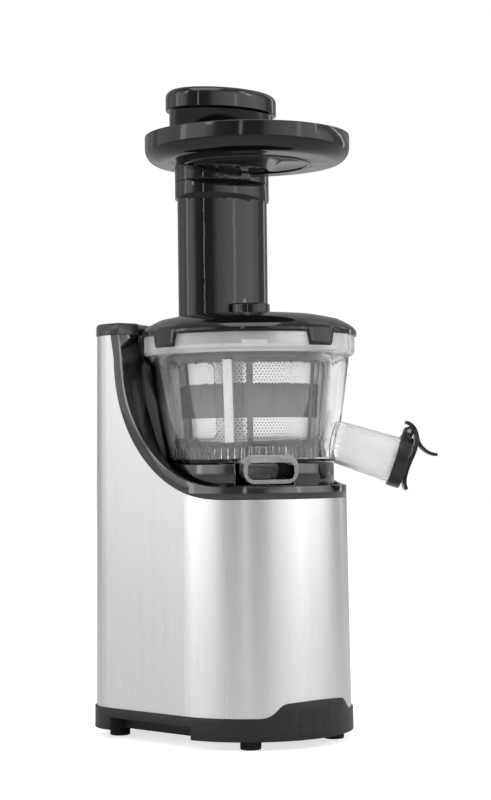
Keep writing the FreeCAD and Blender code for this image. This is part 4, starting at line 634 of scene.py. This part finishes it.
def photo_camera(scene):
    """The camera that took the photograph."""
    lens = bpy.data.cameras.new("photo view")
    lens.sensor_fit = "AUTO"
    lens.sensor_width = SENSOR_WIDTH
    lens.lens = FOCAL_PX / PHOTO_HEIGHT_PX * SENSOR_WIDTH
    lens.shift_x = AXIS_LEFT_PX / PHOTO_HEIGHT_PX
    lens.shift_y = HORIZON_DOWN_PX / PHOTO_HEIGHT_PX
    lens.clip_end = 50.0
    camera = bpy.data.objects.new("photo view", lens)
    scene.collection.objects.link(camera)
    level = Euler((math.radians(90.0), 0.0, -VIEW_HEADING)).to_matrix()
    roll = Matrix.Rotation(VIEW_ROLL, 3, "Z")
    camera.location = (-VIEW_DISTANCE * math.sin(VIEW_HEADING), -VIEW_DISTANCE * math.cos(VIEW_HEADING),
                       EYE_HEIGHT)
    camera.rotation_euler = (level @ roll).to_euler()
    scene.camera = camera


def pale_floor(scene):
    """A round floor that shows white to the camera and keeps the juicer's shadow."""
    shape = bmesh.new()
    bmesh.ops.create_circle(shape, cap_ends=True, segments=64, radius=scene.juicer_studio.floor_radius)
    mesh = bpy.data.meshes.new("floor")
    shape.to_mesh(mesh)
    shape.free()
    floor = bpy.data.objects.new("floor", mesh)
    scene.collection.objects.link(floor)
    finish = Finish("pale floor", (0.72, 0.72, 0.72), roughness=0.9, Emission_Color=(1.0, 1.0, 1.0, 1.0),
                    Specular_IOR_Level=0.0)
    path = finish.tree.add("ShaderNodeLightPath")
    seen = finish.tree.math("MAXIMUM", path.outputs["Is Camera Ray"], path.outputs["Is Transmission Ray"])
    finish.feed("Emission Strength", finish.tree.math("MULTIPLY", seen, 0.7))
    mesh.materials.append(finish.material)


class JUICER_OT_studio(JuicerOperator, bpy.types.Operator):
    """Floor, room, lamps and camera"""
    bl_idname = "juicer.studio"
    bl_label = "Studio"

    def make(self, scene):
        studio = scene.juicer_studio
        scene.view_settings.view_transform = "Standard"
        pale_floor(scene)
        room_light(scene)
        for name, place, aim_height, width, height, power in LAMPS:
            lamp(scene, name, place, aim_height, width, height, getattr(studio, power))
        photo_camera(scene)


class JUICER_PT_panel(bpy.types.Panel):
    """Lists the juicer's builders and settings"""
    bl_idname = "JUICER_PT_panel"
    bl_label = "Slow Juicer"
    bl_space_type = "VIEW_3D"
    bl_region_type = "UI"
    bl_category = "Juicer"

    def draw(self, context):
        for operator in OPERATORS:
            self.layout.operator(operator.bl_idname)
        for group in ("juicer_colours", "juicer_sizes", "juicer_studio"):
            settings = getattr(context.scene, group)
            for name in settings.__annotations__:
                self.layout.prop(settings, name)


OPERATORS = (JUICER_OT_studio, JUICER_OT_body, JUICER_OT_controls, JUICER_OT_drive, JUICER_OT_bowl,
             JUICER_OT_press, JUICER_OT_spout_cap, JUICER_OT_lid, JUICER_OT_hopper)
CLASSES = (JuicerColours, JuicerSizes, JuicerStudio, *OPERATORS, JUICER_PT_panel)


def register():
    for item in CLASSES:
        bpy.utils.register_class(item)
    bpy.types.Scene.juicer_colours = bpy.props.PointerProperty(type=JuicerColours)
    bpy.types.Scene.juicer_sizes = bpy.props.PointerProperty(type=JuicerSizes)
    bpy.types.Scene.juicer_studio = bpy.props.PointerProperty(type=JuicerStudio)


def unregister():
    del bpy.types.Scene.juicer_studio
    del bpy.types.Scene.juicer_sizes
    del bpy.types.Scene.juicer_colours
    for item in reversed(CLASSES):
        bpy.utils.unregister_class(item)


def main():
    """Builds everything."""
    register()
    for operator in OPERATORS:
        section, name = operator.bl_idname.split(".")
        getattr(getattr(bpy.ops, section), name)()


if __name__ == "__main__":
    main()
